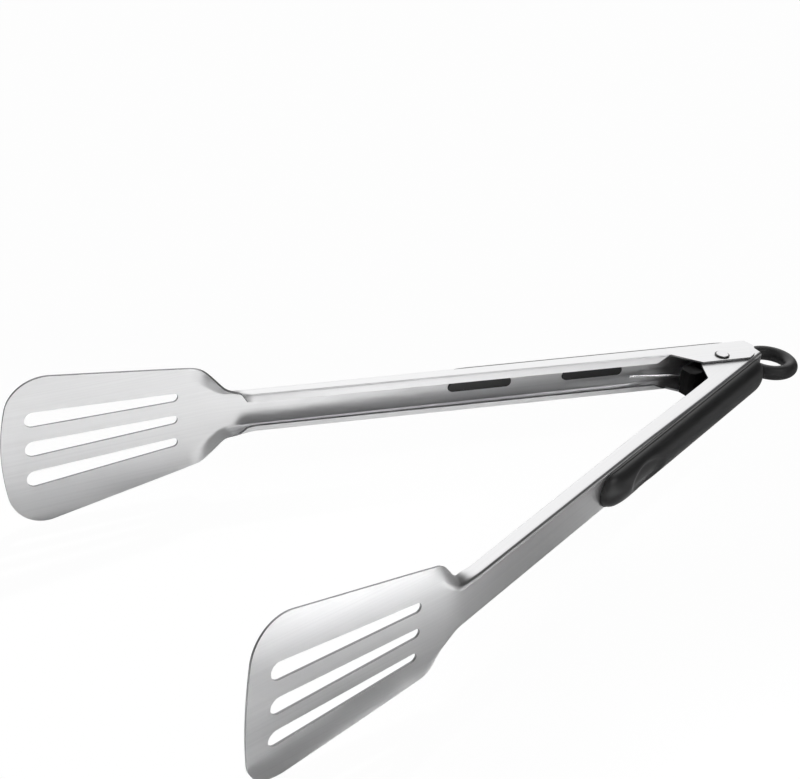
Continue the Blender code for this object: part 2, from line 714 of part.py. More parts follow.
def build_lock(parent, plastic, parts, cutters):
    slot_half = RIVET_RADIUS + FINE_GAP + SLEEVE_WALL + SEAT_GAP
    slot = capsule((-LOCK_TRAVEL, 0), slot_half, (0, 0), slot_half, 12)
    mesh = plate_mesh("lock_slider", [lock_outline(), slot], LOCK_PLATE_BOTTOM, LOCK_TOP)
    lock = new_object("lock_slider", mesh, parent, plastic, parts)
    overlap = (LOCK_TOP - LOCK_PLATE_BOTTOM) / 2
    bottom = -LOCK_TOP
    front = block_mesh(
        "lock_front_block",
        (LOCK_FRONT + LOCK_FRONT_CORNER, LOCK_FRONT + LOCK_FRONT_BLOCK),
        LOCK_FRONT_HALF - LOCK_FRONT_CORNER / 2,
        (bottom, LOCK_PLATE_BOTTOM + overlap),
    )
    back = block_mesh(
        "lock_back_block",
        (LOCK_BACK_BLOCK, LOCK_BACK - LOCK_FRONT_CORNER / 2),
        LOCK_BACK_HALF - LOCK_FRONT_CORNER / 2,
        (bottom, LOCK_PLATE_BOTTOM + overlap),
    )
    tongue = block_mesh(
        "lock_tongue",
        (LOCK_BACK_BLOCK + LOCK_FRONT_CORNER, LOCK_BACK + TONGUE_REACH),
        TONGUE_HALF_WIDTH,
        (RING_HEIGHT - TONGUE_HALF_HEIGHT, RING_HEIGHT + TONGUE_HALF_HEIGHT),
    )
    for piece in (front, back, tongue):
        boolean(lock, as_cutter(new_object(piece.name, piece, parent, None, cutters)), "UNION")
    return lock


def build_ring(parent, rubber, parts, cutters):
    bpy.ops.mesh.primitive_torus_add(
        major_radius=RING_RADIUS, minor_radius=RING_TUBE, major_segments=44, minor_segments=16
    )
    ring = bpy.context.object
    ring.name = "pull_ring"
    ring.data.name = "pull_ring"
    ring.data.transform(Matrix.Translation((RING_PLACE, 0, RING_HEIGHT)))
    for collection in list(ring.users_collection):
        collection.objects.unlink(ring)
    parts.objects.link(ring)
    ring.parent = parent
    ring.data.materials.append(rubber)
    near = LOCK_BACK + SEAT_GAP
    far = RING_PLACE - RING_RADIUS
    shank = block_mesh(
        "ring_shank",
        (near, far),
        SHANK_HALF_WIDTH,
        (RING_HEIGHT - SHANK_HALF_HEIGHT, RING_HEIGHT + SHANK_HALF_HEIGHT),
    )
    socket = block_mesh(
        "ring_socket_cut",
        (near - CUT_OVERRUN, LOCK_BACK + TONGUE_REACH + SEAT_GAP),
        TONGUE_HALF_WIDTH + TONGUE_GAP,
        (
            RING_HEIGHT - TONGUE_HALF_HEIGHT - TONGUE_GAP,
            RING_HEIGHT + TONGUE_HALF_HEIGHT + TONGUE_GAP,
        ),
    )
    boolean(ring, as_cutter(new_object(shank.name, shank, parent, None, cutters)), "UNION")
    boolean(ring, as_cutter(new_object(socket.name, socket, parent, None, cutters)))
    return ring


def empty(name, parent, turn=0.0):
    axis = bpy.data.objects.new(name, None)
    bpy.context.scene.collection.objects.link(axis)
    axis.parent = parent
    axis.rotation_euler = (0, 0, turn)
    return axis


def stand_on_origin(frame, parts):
    """Moves the whole model so that the origin is the middle of its bounding box's underside."""
    bpy.context.view_layer.update()
    graph = bpy.context.evaluated_depsgraph_get()
    low = Vector((math.inf,) * 3)
    high = Vector((-math.inf,) * 3)
    for piece in parts.objects:
        shown = piece.evaluated_get(graph)
        mesh = shown.to_mesh()
        for vertex in mesh.vertices:
            place = piece.matrix_world @ vertex.co
            low = Vector(map(min, low, place))
            high = Vector(map(max, high, place))
        shown.to_mesh_clear()
    frame.location = (-(low.x + high.x) / 2, -(low.y + high.y) / 2, -low.z)


for old in list(bpy.data.objects):
    bpy.data.objects.remove(old)

parts = collect("spatula_tongs")
cutters = collect("cutters")
steel = principled("brushed_steel", (0.72, 0.72, 0.73), 0.32, 1.0)
bright_steel = principled("bright_steel", (0.8, 0.8, 0.81), 0.22, 1.0)
soft_black = principled("soft_black", (0.035, 0.035, 0.037), 0.55)
black_plastic = principled("black_plastic", (0.015, 0.015, 0.016), 0.4)
dark_grey = principled("dark_grey_soft", (0.07, 0.07, 0.072), 0.5)

frame = empty("tongs_frame", None)
lower_axis = empty("lower_arm_axis", frame, OPEN_ANGLE)
lock_axis = empty("lock_axis", frame, OPEN_ANGLE / 2)

build_arm("upper_arm", 1, UPPER_WIDTH / 2, UPPER_BACK_HEIGHT, frame, steel, parts, cutters)
build_arm("lower_arm", -1, LOWER_HALF, LOWER_BACK_HEIGHT, lower_axis, steel, parts, cutters)
build_grip("upper_grip", 1, UPPER_BACK_HEIGHT, frame, soft_black, parts, cutters)
build_grip("lower_grip", -1, LOWER_BACK_HEIGHT, lower_axis, soft_black, parts, cutters)
build_rivet(frame, bright_steel, parts)
build_sleeve(lock_axis, bright_steel, parts)
build_spring(lock_axis, bright_steel, parts)
build_lock(lock_axis, black_plastic, parts, cutters)
build_ring(lock_axis, dark_grey, parts, cutters)
stand_on_origin(frame, parts)
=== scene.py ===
import json
import math

import bmesh
import bpy
from mathutils import Matrix, Vector


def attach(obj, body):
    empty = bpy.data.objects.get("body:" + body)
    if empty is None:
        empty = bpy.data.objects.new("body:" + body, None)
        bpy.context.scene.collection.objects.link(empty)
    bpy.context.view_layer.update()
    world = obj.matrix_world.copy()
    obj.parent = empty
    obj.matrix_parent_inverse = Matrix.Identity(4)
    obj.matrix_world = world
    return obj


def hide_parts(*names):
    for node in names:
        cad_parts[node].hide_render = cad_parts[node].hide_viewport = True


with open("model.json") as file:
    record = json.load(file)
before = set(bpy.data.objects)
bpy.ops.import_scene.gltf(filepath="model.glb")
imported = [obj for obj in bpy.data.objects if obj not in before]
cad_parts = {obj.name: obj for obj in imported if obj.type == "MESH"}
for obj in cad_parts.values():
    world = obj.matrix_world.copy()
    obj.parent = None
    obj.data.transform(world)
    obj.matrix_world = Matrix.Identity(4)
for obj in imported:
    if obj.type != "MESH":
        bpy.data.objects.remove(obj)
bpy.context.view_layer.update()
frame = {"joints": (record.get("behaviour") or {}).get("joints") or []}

# Arms
# Each arm is one blank of 0.8 mm stainless sheet, folded into a channel with lips turned in along its
# edges. The folds open out through the neck into a cupped blade with three drain slots. Both arms
# are brushed along their length, and only their sheared edges are left raw, their colour darkened as
# painted shade.

# The folded channel
SHEET = 0.0008
ARM_WIDTH = 0.0160
EAR_GAP = 0.0002
UPPER_BACK = 0.0113
LOWER_BACK = 0.0107
FLANGE_AT_HINGE = 0.0068
FLANGE_AT_NECK = 0.0049
LIP_LENGTH = 0.0027
LIP_TURN = math.radians(68)
BEND_RADIUS = 0.0013
LIP_BEND_RADIUS = 0.0006
SMALLEST_EDGE = 0.00015
LOWER_WIDENS_UNTIL = 0.100

# The heel and the ears, from the pivot
HEEL = 0.0168
HEEL_BULGE = 0.0018
HEEL_CUT_BACK = 0.0058
HEEL_BULGE_HEIGHT = 0.0055
HEEL_CUT_HEIGHT = -0.0012
EAR_DROP = 0.0040
EAR_FOOT = 0.0113
EAR_TOP = 0.0212
LIP_BEGINS = 0.0214
LIP_FULL = 0.0278
HEEL_ROWS_FROM = -0.0040

# The neck and the blade, from the pivot and then from the blade's bend
ARM_LENGTH = 0.2111
LIP_ENDS = ARM_LENGTH - 0.0107
FLANGE_ENDS = LIP_ENDS + 0.0028
UNFOLD_BEGINS = ARM_LENGTH - 0.0150
UNFOLD_TAIL = 0.0120
UNFOLD_ENDS = ARM_LENGTH + UNFOLD_TAIL
NOTCH_PLACE = -0.0024
NOTCH_RUN = 0.0119
NOTCH_ROUNDING = 0.0012
BLADE_TURN = math.radians(10.9)
BLADE_TURN_LENGTH = 0.012
BLADE_LENGTH = 0.0822
SHOULDER_PLACE = 0.0068
SHOULDER_HALF_WIDTH = 0.0203
SHOULDER_ROUNDING = 0.0016
BLADE_FLARE = 0.0118
FLARE_SLOPE = BLADE_FLARE / (BLADE_LENGTH - SHOULDER_PLACE)
TIP_CORNER = 0.0140
TIP_ARC = 0.1000
CUP_RADIUS = 0.174

# The blade's slots, the windows in the back and the rivet's hole
SLOT_ROOT = 0.0158
SLOT_TIP = BLADE_LENGTH - 0.0085
SLOT_ROOT_WIDTH = 0.0036
SLOT_TIP_WIDTH = 0.0062
SLOT_ROOT_SPACING = 0.0095
SLOT_TIP_SPACING = 0.0121
WINDOW_STARTS = (0.0400, 0.0900)
WINDOW_LENGTH = 0.0275
WINDOW_WIDTH = 0.0046
RIVET_RADIUS = 0.0022
RIVET_HOLE_GAP = 0.00015
RIVET_HOLE = RIVET_RADIUS + RIVET_HOLE_GAP
SLOT_PUNCH_REACH = 0.004
WINDOW_PUNCH_REACH = 0.003

# The frame holds the open tongs: the upper arm along X, the lower arm turned from it about the pivot
OPEN_ANGLE = math.radians(34.4)
hinge = next(joint for joint in frame["joints"] if joint["name"] == "arm_hinge")
pivot = Matrix.Translation(hinge["pos_m"])
upper_place = pivot
lower_place = pivot @ Matrix.Rotation(OPEN_ANGLE, 4, "Z")
core_place = pivot @ Matrix.Rotation(OPEN_ANGLE / 2, 4, "Z")

BEND = BEND_RADIUS * math.pi / 2
LIP_BEND = LIP_BEND_RADIUS * LIP_TURN
# Half the blade's width, split into what were the web, bend, flange, lip bend and lip
BLADE_SHARES = (0.60, 0.16, 0.12, 0.04, 0.08)
# How finely the sheet is made: columns in those five parts, rows along the arm, steps round curves
FOLD_COLUMNS = (6, 7, 5, 6, 3)
HEEL_ROWS = (1, 0.95, 0.8, 0.6, 0.4, 0.2)
HINGE_STEP = 0.0011
CHANNEL_STEP = 0.0040
NECK_STEP = 0.0006
BLADE_ROWS = 34
CORNER_ROWS = 12
SLOT_END_STEPS = 15
HOLE_STEPS = 36
SMALLEST_TURN = 1e-6
WELD = 0.00001
AS_DRAWN = Matrix.Identity(4)

# Below, s is a place along the blank from the pivot and run one across it from its middle line;
# x and n are a folded point's places along the arm and out from the pivot, square to the arm;
# u and v are places along and across the blade from its bend.


def smooth(share):
    """An even ramp from 0 to 1, eased at both ends."""
    share = min(max(share, 0.0), 1.0)
    return share * share * (3 - 2 * share)


def between(low, high, place):
    return (place - low) / (high - low)


def mix(first, second, share):
    return first + (second - first) * share


def half_width(arm_half, s):
    """Half the channel's width at s: the lower arm starts narrower, to fit between the upper ears."""
    return mix(arm_half, ARM_WIDTH / 2, smooth(between(LIP_FULL, LOWER_WIDENS_UNTIL, s)))


def lower_of(first, second, rounding):
    """The lower of two values, rounded off where they are nearly equal."""
    return (first + second - math.hypot(first - second, rounding)) / 2


def blade_half(u):
    """Half the sheet's width at u past the blade's bend: notch, slanted shoulder, flared side."""
    slant = (SHOULDER_HALF_WIDTH - NOTCH_RUN) / (SHOULDER_PLACE - NOTCH_PLACE)
    shoulder = NOTCH_RUN + slant * (u - NOTCH_PLACE)
    side = SHOULDER_HALF_WIDTH + FLARE_SLOPE * (u - SHOULDER_PLACE)
    return -lower_of(-lower_of(shoulder, side, SHOULDER_ROUNDING), -NOTCH_RUN, NOTCH_ROUNDING)


def tip_corner():
    """Centre of the corner's round and the directions where it meets the side and the tip's arc."""
    arc_centre = BLADE_LENGTH - TIP_ARC
    offset = SHOULDER_HALF_WIDTH - FLARE_SLOPE * SHOULDER_PLACE
    offset -= TIP_CORNER * math.hypot(1, FLARE_SLOPE)
    a = 1 + FLARE_SLOPE**2
    b = FLARE_SLOPE * offset - arc_centre
    c = arc_centre**2 + offset**2 - (TIP_ARC - TIP_CORNER) ** 2
    u = (-b + math.sqrt(b * b - a * c)) / a
    v = FLARE_SLOPE * u + offset
    return (u, v), math.pi / 2 + math.atan(FLARE_SLOPE), math.atan2(v, u - arc_centre)


def tip_place(v):
    """How far out the tip's edge lies at v: on the tip's arc, then on the corner's round."""
    (u_corner, v_corner), _, at_tip = tip_corner()
    if v <= v_corner + TIP_CORNER * math.sin(at_tip):
        return BLADE_LENGTH - TIP_ARC + math.sqrt(TIP_ARC**2 - v * v)
    return u_corner + math.sqrt(max(TIP_CORNER**2 - (v - v_corner) ** 2, 0))


def blade_rows():
    """Rows over the blade: place in the middle, place at the side, half width."""
    (u_corner, v_corner), at_side, at_tip = tip_corner()
    turn = (at_side + at_tip) / 2
    side_end = u_corner + TIP_CORNER * math.cos(at_side)
    rows = [mix(UNFOLD_TAIL, side_end, i / BLADE_ROWS) for i in range(1, BLADE_ROWS + 1)]
    rows = [(u, blade_half(u)) for u in rows]
    for i in range(1, CORNER_ROWS + 1):
        angle = mix(at_side, turn, i / CORNER_ROWS)
        rows.append((u_corner + TIP_CORNER * math.cos(angle), v_corner + TIP_CORNER * math.sin(angle)))
    share = (BLADE_LENGTH - UNFOLD_TAIL) / (rows[-1][0] - UNFOLD_TAIL)
    return [(UNFOLD_TAIL + (u - UNFOLD_TAIL) * share, u, v) for u, v in rows]


def blank_lengths(arm_half, back, s):
    """Lengths of web, bend, flange, lip bend and lip across half the blank at s."""
    web = half_width(arm_half, s) - BEND_RADIUS
    flange = mix(FLANGE_AT_HINGE, FLANGE_AT_NECK, min(max(s / LIP_ENDS, 0), 1))
    flange -= BEND_RADIUS + LIP_BEND_RADIUS * math.sin(LIP_TURN) / 2
    if s <= EAR_TOP:
        growth = min(between(EAR_TOP, EAR_FOOT, s), 1)
        below = mix(2 * SMALLEST_EDGE, back - BEND_RADIUS + EAR_DROP - flange, growth)
        return [web, BEND, flange, below / 2, below / 2]
    if s < LIP_FULL:
        keep = max(between(LIP_BEGINS, LIP_FULL, s), 0) * (LIP_BEND + LIP_LENGTH)
    else:
        keep = min(max(between(FLANGE_ENDS, LIP_ENDS, s), 0), 1) * (LIP_BEND + LIP_LENGTH)
    lip = max(keep - LIP_BEND, SMALLEST_EDGE)
    folded = [web, BEND, flange, min(max(keep - lip, SMALLEST_EDGE), LIP_BEND), lip]
    if s <= UNFOLD_BEGINS:
        return folded
    widening = smooth(between(FLANGE_ENDS, ARM_LENGTH + NOTCH_PLACE, s))
    total = mix(sum(folded), blade_half(s - ARM_LENGTH), widening)
    spread = smooth(between(UNFOLD_BEGINS, UNFOLD_ENDS, s)) * smooth(between(LIP_ENDS, UNFOLD_ENDS, s))
    scale = total / sum(folded)
    return [mix(part * scale, total * share, spread) for part, share in zip(folded, BLADE_SHARES)]


def opened(s):
    """How far the folds have opened at s, from 0 in the channel to 1 on the blade."""
    return smooth(between(UNFOLD_BEGINS, UNFOLD_ENDS, s))


def section(arm_half, back, s):
    """Points (depth, height, run) across half the folded sheet, from the middle outwards."""
    lengths = blank_lengths(arm_half, back, s)
    main = math.pi / 2 * (1 - opened(s))
    lip = LIP_TURN * min(lengths[3] / LIP_BEND, 1) if EAR_TOP < s < FLANGE_ENDS else 0
    cup = opened(s) / (2 * CUP_RADIUS)
    depth, height, heading, run = 0.0, 0.0, 0.0, 0.0
    points = [(0.0, 0.0, 0.0)]
    for length, turn, columns in zip(lengths, (0, main, 0, lip, 0), FOLD_COLUMNS):
        for i in range(1, columns + 1):
            share = i / columns
            if turn < SMALLEST_TURN:
                x = length * share * math.sin(heading)
                y = length * share * math.cos(heading)
            else:
                now = heading + turn * share
                x = length / turn * (math.cos(heading) - math.cos(now))
                y = length / turn * (math.sin(now) - math.sin(heading))
            points.append((depth + x, height + y, run + length * share))
        depth, height, run = points[-1]
        heading += turn
    return [(depth + cup * height * height, height, run) for depth, height, run in points]


def along_arm(back, s):
    """Place and heading of the arm's back at s: straight, then a gentle bend, then the blade."""
    start = ARM_LENGTH - BLADE_TURN_LENGTH / 2
    radius = BLADE_TURN_LENGTH / BLADE_TURN
    turned_by = min(max((s - start) / radius, 0), BLADE_TURN)
    beyond = max(s - start - BLADE_TURN_LENGTH, 0)
    x = min(s, start) + radius * math.sin(turned_by) + beyond * math.cos(BLADE_TURN)
    drop = radius * (1 - math.cos(turned_by)) + beyond * math.sin(BLADE_TURN)
    return x, back - drop, turned_by


def on_arm(back, s, depth):
    """The place (x, n) at s, at a depth under the arm's back."""
    x, n, turned_by = along_arm(back, s)
    return x - depth * math.sin(turned_by), n - depth * math.cos(turned_by)


def heel_edge(run, arm_half, back):
    """Where the heel's edge lies at a run across the blank: bulged at the flange, cut back below."""
    bend_end = arm_half - BEND_RADIUS + BEND
    n = back - BEND_RADIUS - (run - bend_end)
    if run <= bend_end:
        return -HEEL
    if n > HEEL_BULGE_HEIGHT:
        return -HEEL - HEEL_BULGE * between(back - BEND_RADIUS, HEEL_BULGE_HEIGHT, n)
    if n > HEEL_CUT_HEIGHT:
        return -HEEL - HEEL_BULGE * (1 - 2 * between(HEEL_BULGE_HEIGHT, HEEL_CUT_HEIGHT, n))
    return mix(-HEEL + HEEL_BULGE, -HEEL + HEEL_CUT_BACK, between(HEEL_CUT_HEIGHT, -EAR_DROP, n))


def spaced(knots, step):
    """Places from the first knot to the last, on every knot and no further apart than the step."""
    places = [knots[0]]
    for low, high in zip(knots, knots[1:]):
        count = math.ceil((high - low) / step)
        places += [mix(low, high, i / count) for i in range(1, count + 1)]
    return places


def sheet_rows(arm_half, back):
    """Rows of (x, n, height, s, run) across half the arm, from the heel's edge to the tip."""
    rows = []
    first = section(arm_half, back, HEEL_ROWS_FROM)
    for share in HEEL_ROWS:
        places = [mix(HEEL_ROWS_FROM, heel_edge(run, arm_half, back), share) for _, _, run in first]
        rows.append([(s, back - depth, high, s, run) for s, (depth, high, run) in zip(places, first)])
    neck = ARM_LENGTH + NOTCH_PLACE
    hinge_end = spaced((HEEL_ROWS_FROM, EAR_FOOT, EAR_TOP, LIP_BEGINS, LIP_FULL), HINGE_STEP)
    channel = spaced((LIP_FULL, LOWER_WIDENS_UNTIL, UNFOLD_BEGINS), CHANNEL_STEP)
    opening = spaced((UNFOLD_BEGINS, LIP_ENDS, FLANGE_ENDS, neck, UNFOLD_ENDS), NECK_STEP)
    for s in hinge_end + channel[1:] + opening[1:]:
        folded = section(arm_half, back, s)
        rows.append([(*on_arm(back, s, depth), high, s, run) for depth, high, run in folded])
    last = section(arm_half, back, UNFOLD_ENDS)
    blade = blade_rows()
    _, corner_u, corner_v = blade[-1]
    for middle_u, side_u, half in blade:
        row = []
        for _, _, run in last:
            share = run / last[-1][2]
            pull = (BLADE_LENGTH - tip_place(share * corner_v)) / (BLADE_LENGTH - corner_u)
            s = ARM_LENGTH + mix(middle_u, side_u, pull)
            high = share * half
            depth = high * high / (2 * CUP_RADIUS)
            row.append((*on_arm(back, s, depth), high, s, high))
        rows.append(row)
    return rows


def as_mesh(name, shape):
    mesh = bpy.data.meshes.new(name)
    shape.to_mesh(mesh)
    shape.free()
    return mesh


def folded_blank(name, arm_half, back, side):
    """The folded blank as one open surface. Its map holds the place along and across the blank."""
    shape = bmesh.new()
    grain = shape.loops.layers.uv.new("blank")
    on_blank = {}
    grid = []
    for row in sheet_rows(arm_half, back):
        mirrored = [(x, n, -high, s, -run) for x, n, high, s, run in reversed(row[1:])]
        line = []
        for x, n, high, s, run in mirrored + row:
            corner = shape.verts.new((-x, side * n, high))
            on_blank[corner] = (s, run)
            line.append(corner)
        grid.append(line)
    for near, far in zip(grid, grid[1:]):
        for i in range(len(near) - 1):
            corners = (near[i], near[i + 1], far[i + 1], far[i])
            face = shape.faces.new(corners if side < 0 else corners[::-1])
            for loop in face.loops:
                loop[grain].uv = on_blank[loop.vert]
    return as_mesh(name, shape)


def arc(centre, radius, start, end, steps):
    """Points round an arc, with both of its ends."""
    turns = [mix(start, end, i / steps) for i in range(steps + 1)]
    return [(centre[0] + radius * math.cos(t), centre[1] + radius * math.sin(t)) for t in turns]


def capsule(start, start_radius, end, end_radius, steps=SLOT_END_STEPS):
    """The outline round two circles on one line, such as a slot that widens."""
    run = Vector(end) - Vector(start)
    heading = math.atan2(run.y, run.x)
    side = math.pi / 2 - math.asin((start_radius - end_radius) / run.length)
    far = arc(end, end_radius, heading - side, heading + side, steps)
    return far + arc(start, start_radius, heading + side, heading + 2 * math.pi - side, steps)


def add_plate(shape, outlines, low, high, place):
    """Adds a flat plate to a shape: closed outlines in X and Y, filled between two heights."""
    curve = bpy.data.curves.new("outline", "CURVE")
    curve.dimensions = "2D"
    curve.fill_mode = "BOTH"
    curve.extrude = (high - low) / 2
    for outline in outlines:
        spline = curve.splines.new("POLY")
        spline.points.add(len(outline) - 1)
        for point, (x, y) in zip(spline.points, outline):
            point.co = (x, y, 0, 1)
        spline.use_cyclic_u = True
    holder = bpy.data.objects.new("outline", curve)
    mesh = bpy.data.meshes.new_from_object(holder)
    bpy.data.objects.remove(holder)
    bpy.data.curves.remove(curve)
    mesh.transform(place @ Matrix.Translation((0, 0, (high + low) / 2)))
    shape.from_mesh(mesh)
    bpy.data.meshes.remove(mesh)
    bmesh.ops.remove_doubles(shape, verts=shape.verts, dist=WELD)
    bmesh.ops.recalc_face_normals(shape, faces=shape.faces)


def as_object(name, data, materials):
    piece = bpy.data.objects.new(name, data)
    bpy.context.scene.collection.objects.link(piece)
    for material in materials:
        data.materials.append(material)
    return piece


def plates(name, parts, materials):
    """An object of flat plates, each given by its outlines, lower and upper face, and place."""
    shape = bmesh.new()
    for outlines, low, high, place in parts:
        add_plate(shape, outlines, low, high, place)
    return as_object(name, as_mesh(name, shape), materials)


def combine(piece, operation, other):
    """Joins another object to a piece, or cuts it out, when the piece is settled."""
    exact = piece.modifiers.new(other.name, "BOOLEAN")
    exact.operation = operation
    exact.object = other
    exact.solver = "EXACT"


def settle(piece, sharp_from):
    """Turns a piece's modifiers into its mesh, smooth except at edges sharper than an angle."""
    bpy.context.view_layer.update()
    graph = bpy.context.evaluated_depsgraph_get()
    mesh = bpy.data.meshes.new_from_object(piece.evaluated_get(graph))
    used_up = [modifier.object for modifier in piece.modifiers if modifier.type == "BOOLEAN"]
    piece.modifiers.clear()
    piece.data = mesh
    mesh.shade_smooth()
    mesh.set_sharp_from_angle(angle=math.radians(sharp_from))
    for other in used_up:
        bpy.data.objects.remove(other)


def finish_piece(piece, body, node):
    """The body that carries a piece and the solid that it stands for, which is hidden."""
    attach(piece, body)
    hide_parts(node)


def put(socket, value):
    """Links another node's output to a socket, or sets a number or a colour on it."""
    if isinstance(value, bpy.types.NodeSocket):
        socket.id_data.links.new(value, socket)
    elif socket.type == "RGBA":
        socket.default_value = (*value, 1)
    else:
        socket.default_value = value


def new_finish(name, colour, roughness, metallic=0.0):
    """A material of plain colour and roughness, with its nodes and its shader."""
    material = bpy.data.materials.new(name)
    material.use_nodes = True
    material.diffuse_color = (*colour, 1)
    shader = material.node_tree.nodes["Principled BSDF"]
    put(shader.inputs["Base Color"], colour)
    put(shader.inputs["Roughness"], roughness)
    put(shader.inputs["Metallic"], metallic)
    return material, material.node_tree, shader


def vary(shader, colour, roughness, normal):
    """Feeds a shader what varies over its surface."""
    put(shader.inputs["Base Color"], colour)
    put(shader.inputs["Roughness"], roughness)
    put(shader.inputs["Normal"], normal)


def on_piece(tree):
    """Places in metres, fixed to the piece."""
    return tree.nodes.new("ShaderNodeTexCoord").outputs["Object"]


def stretched_noise(tree, place, stretch, detail=4, roughness=0.55):
    """Noise whose grains are as long and wide as the stretch asks, in metres."""
    fit = tree.nodes.new("ShaderNodeMapping")
    fit.inputs["Scale"].default_value = [1 / length for length in stretch]
    noise = tree.nodes.new("ShaderNodeTexNoise")
    noise.inputs["Scale"].default_value = 1.0
    noise.inputs["Detail"].default_value = detail
    noise.inputs["Roughness"].default_value = roughness
    put(fit.inputs["Vector"], place)
    put(noise.inputs["Vector"], fit.outputs["Vector"])
    return noise.outputs["Fac"]


def spread_to(tree, value, low, high, from_low=0.3, from_high=0.7):
    """Noise rarely leaves its middle, so the range that it does fill is spread to the one wanted."""
    span = tree.nodes.new("ShaderNodeMapRange")
    span.inputs["From Min"].default_value = from_low
    span.inputs["From Max"].default_value = from_high
    span.inputs["To Min"].default_value = low
    span.inputs["To Max"].default_value = high
    put(span.inputs["Value"], value)
    return span.outputs["Result"]


def blended(tree, kind, share, first, second):
    """From the first colour or number to the second, as the share goes from 0 to 1."""
    blend = tree.nodes.new("ShaderNodeMix")
    blend.data_type = kind
    put(blend.inputs["A"], first)
    put(blend.inputs["B"], second)
    put(blend.inputs["Factor"], share)
    return blend.outputs["Result"]


def raised(tree, value, depth, strength, below=None):
    """A bump of a given depth in metres, on top of another bump if there is one."""
    bump = tree.nodes.new("ShaderNodeBump")
    bump.inputs["Distance"].default_value = depth
    bump.inputs["Strength"].default_value = strength
    put(bump.inputs["Height"], value)
    if below is not None:
        put(bump.inputs["Normal"], below)
    return bump.outputs["Normal"]


def brushed_sheet():
    """Stainless sheet brushed along the blank: hair lines, wider streaks and a slow unevenness."""
    material, tree, shader = new_finish("brushed_sheet", (0.78, 0.78, 0.785), 0.3, 1.0)
    blank = tree.nodes.new("ShaderNodeUVMap")
    blank.uv_map = "blank"
    place = blank.outputs["UV"]
    hairs = stretched_noise(tree, place, (0.030, 0.00022, 1), 5, 0.65)
    streaks = stretched_noise(tree, place, (0.120, 0.0011, 1), 4, 0.6)
    clouds = stretched_noise(tree, place, (0.022, 0.0060, 1), 3, 0.5)
    pale = spread_to(tree, streaks, 0, 1)
    slow = raised(tree, clouds, 0.00004, 0.25)
    vary(
        shader,
        colour=blended(tree, "RGBA", pale, (0.77, 0.77, 0.775), (0.83, 0.83, 0.835)),
        roughness=spread_to(tree, streaks, 0.29, 0.36),
        normal=raised(tree, hairs, 0.000008, 0.6, slow),
    )
    return material


def shaded_sheared_edge():
    """The raw edge that the shears and punches leave: duller than the brushed faces, and darker as
    painted shade, so that the rims read as dark lines.
    """
    # Painted shade: the edge's colour is made far darker than the steel, so that cut rims show as dark
    # lines
    material, tree, shader = new_finish("shaded_sheared_edge", (0.30, 0.30, 0.305), 0.45, 1.0)
    burr = stretched_noise(tree, on_piece(tree), (0.0006, 0.0006, 0.0002), 4)
    vary(
        shader,
        colour=blended(tree, "RGBA", burr, (0.22, 0.22, 0.225), (0.38, 0.38, 0.385)),
        roughness=spread_to(tree, burr, 0.35, 0.55),
        normal=raised(tree, burr, 0.00002, 0.4),
    )
    return material


def facing_out(along, origin):
    """A place for a plate: its length runs along a line of the arm, and its faces look in and out."""
    up = Vector((0, 0, 1))
    place = Matrix((along, up, along.cross(up))).transposed().to_4x4()
    place.translation = origin
    return place


def on_back(side, back):
    """The place of plates that pass through the flat back of an arm."""
    return facing_out(Vector((-1, 0, 0)), (0, side * back, 0))


def windows(gap):
    """Outlines of the two windows in an arm's back, or of what stands in them with a gap round it."""
    half = WINDOW_WIDTH / 2
    ends = [(start + half, start + WINDOW_LENGTH - half) for start in WINDOW_STARTS]
    return [capsule((near, 0), half - gap, (far, 0), half - gap) for near, far in ends]


def arm_punches(side, back):
    """Three slots through the blade, two windows through the back and the rivet's hole."""
    along = Vector((-math.cos(BLADE_TURN), -side * math.sin(BLADE_TURN), 0))
    x, n, _ = along_arm(back, ARM_LENGTH + BLADE_LENGTH / 2)
    blade = facing_out(along, Vector((-x, side * n, 0)) - along * BLADE_LENGTH / 2)
    cuts = []
    for row in (-1, 0, 1):
        slot = capsule(
            (SLOT_ROOT + SLOT_ROOT_WIDTH / 2, row * SLOT_ROOT_SPACING),
            SLOT_ROOT_WIDTH / 2,
            (SLOT_TIP - SLOT_TIP_WIDTH / 2, row * SLOT_TIP_SPACING),
            SLOT_TIP_WIDTH / 2,
        )
        cuts.append(([slot], -SLOT_PUNCH_REACH, SLOT_PUNCH_REACH, blade))
    for window in windows(0):
        cuts.append(([window], -WINDOW_PUNCH_REACH, WINDOW_PUNCH_REACH, on_back(side, back)))
    hole = arc((0, 0), RIVET_HOLE, 0, 2 * math.pi, HOLE_STEPS)[:-1]
    cuts.append(([hole], -ARM_WIDTH, ARM_WIDTH, AS_DRAWN))
    punches = plates("punches", cuts, (arm_steel, shaded_raw_edge))
    for face in punches.data.polygons:
        face.material_index = 1
    return punches


def make_arm(name, side, arm_half, back, place):
    """The folded blank, thickened inwards and punched. Its rims and cuts take the raw edge, which is
    painted dark as shade.
    """
    arm = as_object(name, folded_blank(name, arm_half, back, side), (arm_steel, shaded_raw_edge))
    sheet = arm.modifiers.new("sheet", "SOLIDIFY")
    sheet.thickness = SHEET
    sheet.offset = -1
    sheet.use_even_offset = True
    sheet.material_offset_rim = 1
    combine(arm, "DIFFERENCE", arm_punches(side, back))
    settle(arm, sharp_from=35)
    arm.data.transform(place)
    return arm


arm_steel = brushed_sheet()
shaded_raw_edge = shaded_sheared_edge()
lower_half = ARM_WIDTH / 2 - SHEET - EAR_GAP

upper_arm = make_arm("upper_arm_sheet", 1, ARM_WIDTH / 2, UPPER_BACK, upper_place)
finish_piece(upper_arm, "upper_arm", "upper_arm")
lower_arm = make_arm("lower_arm_sheet", -1, lower_half, LOWER_BACK, lower_place)
finish_piece(lower_arm, "lower_arm", "lower_arm")

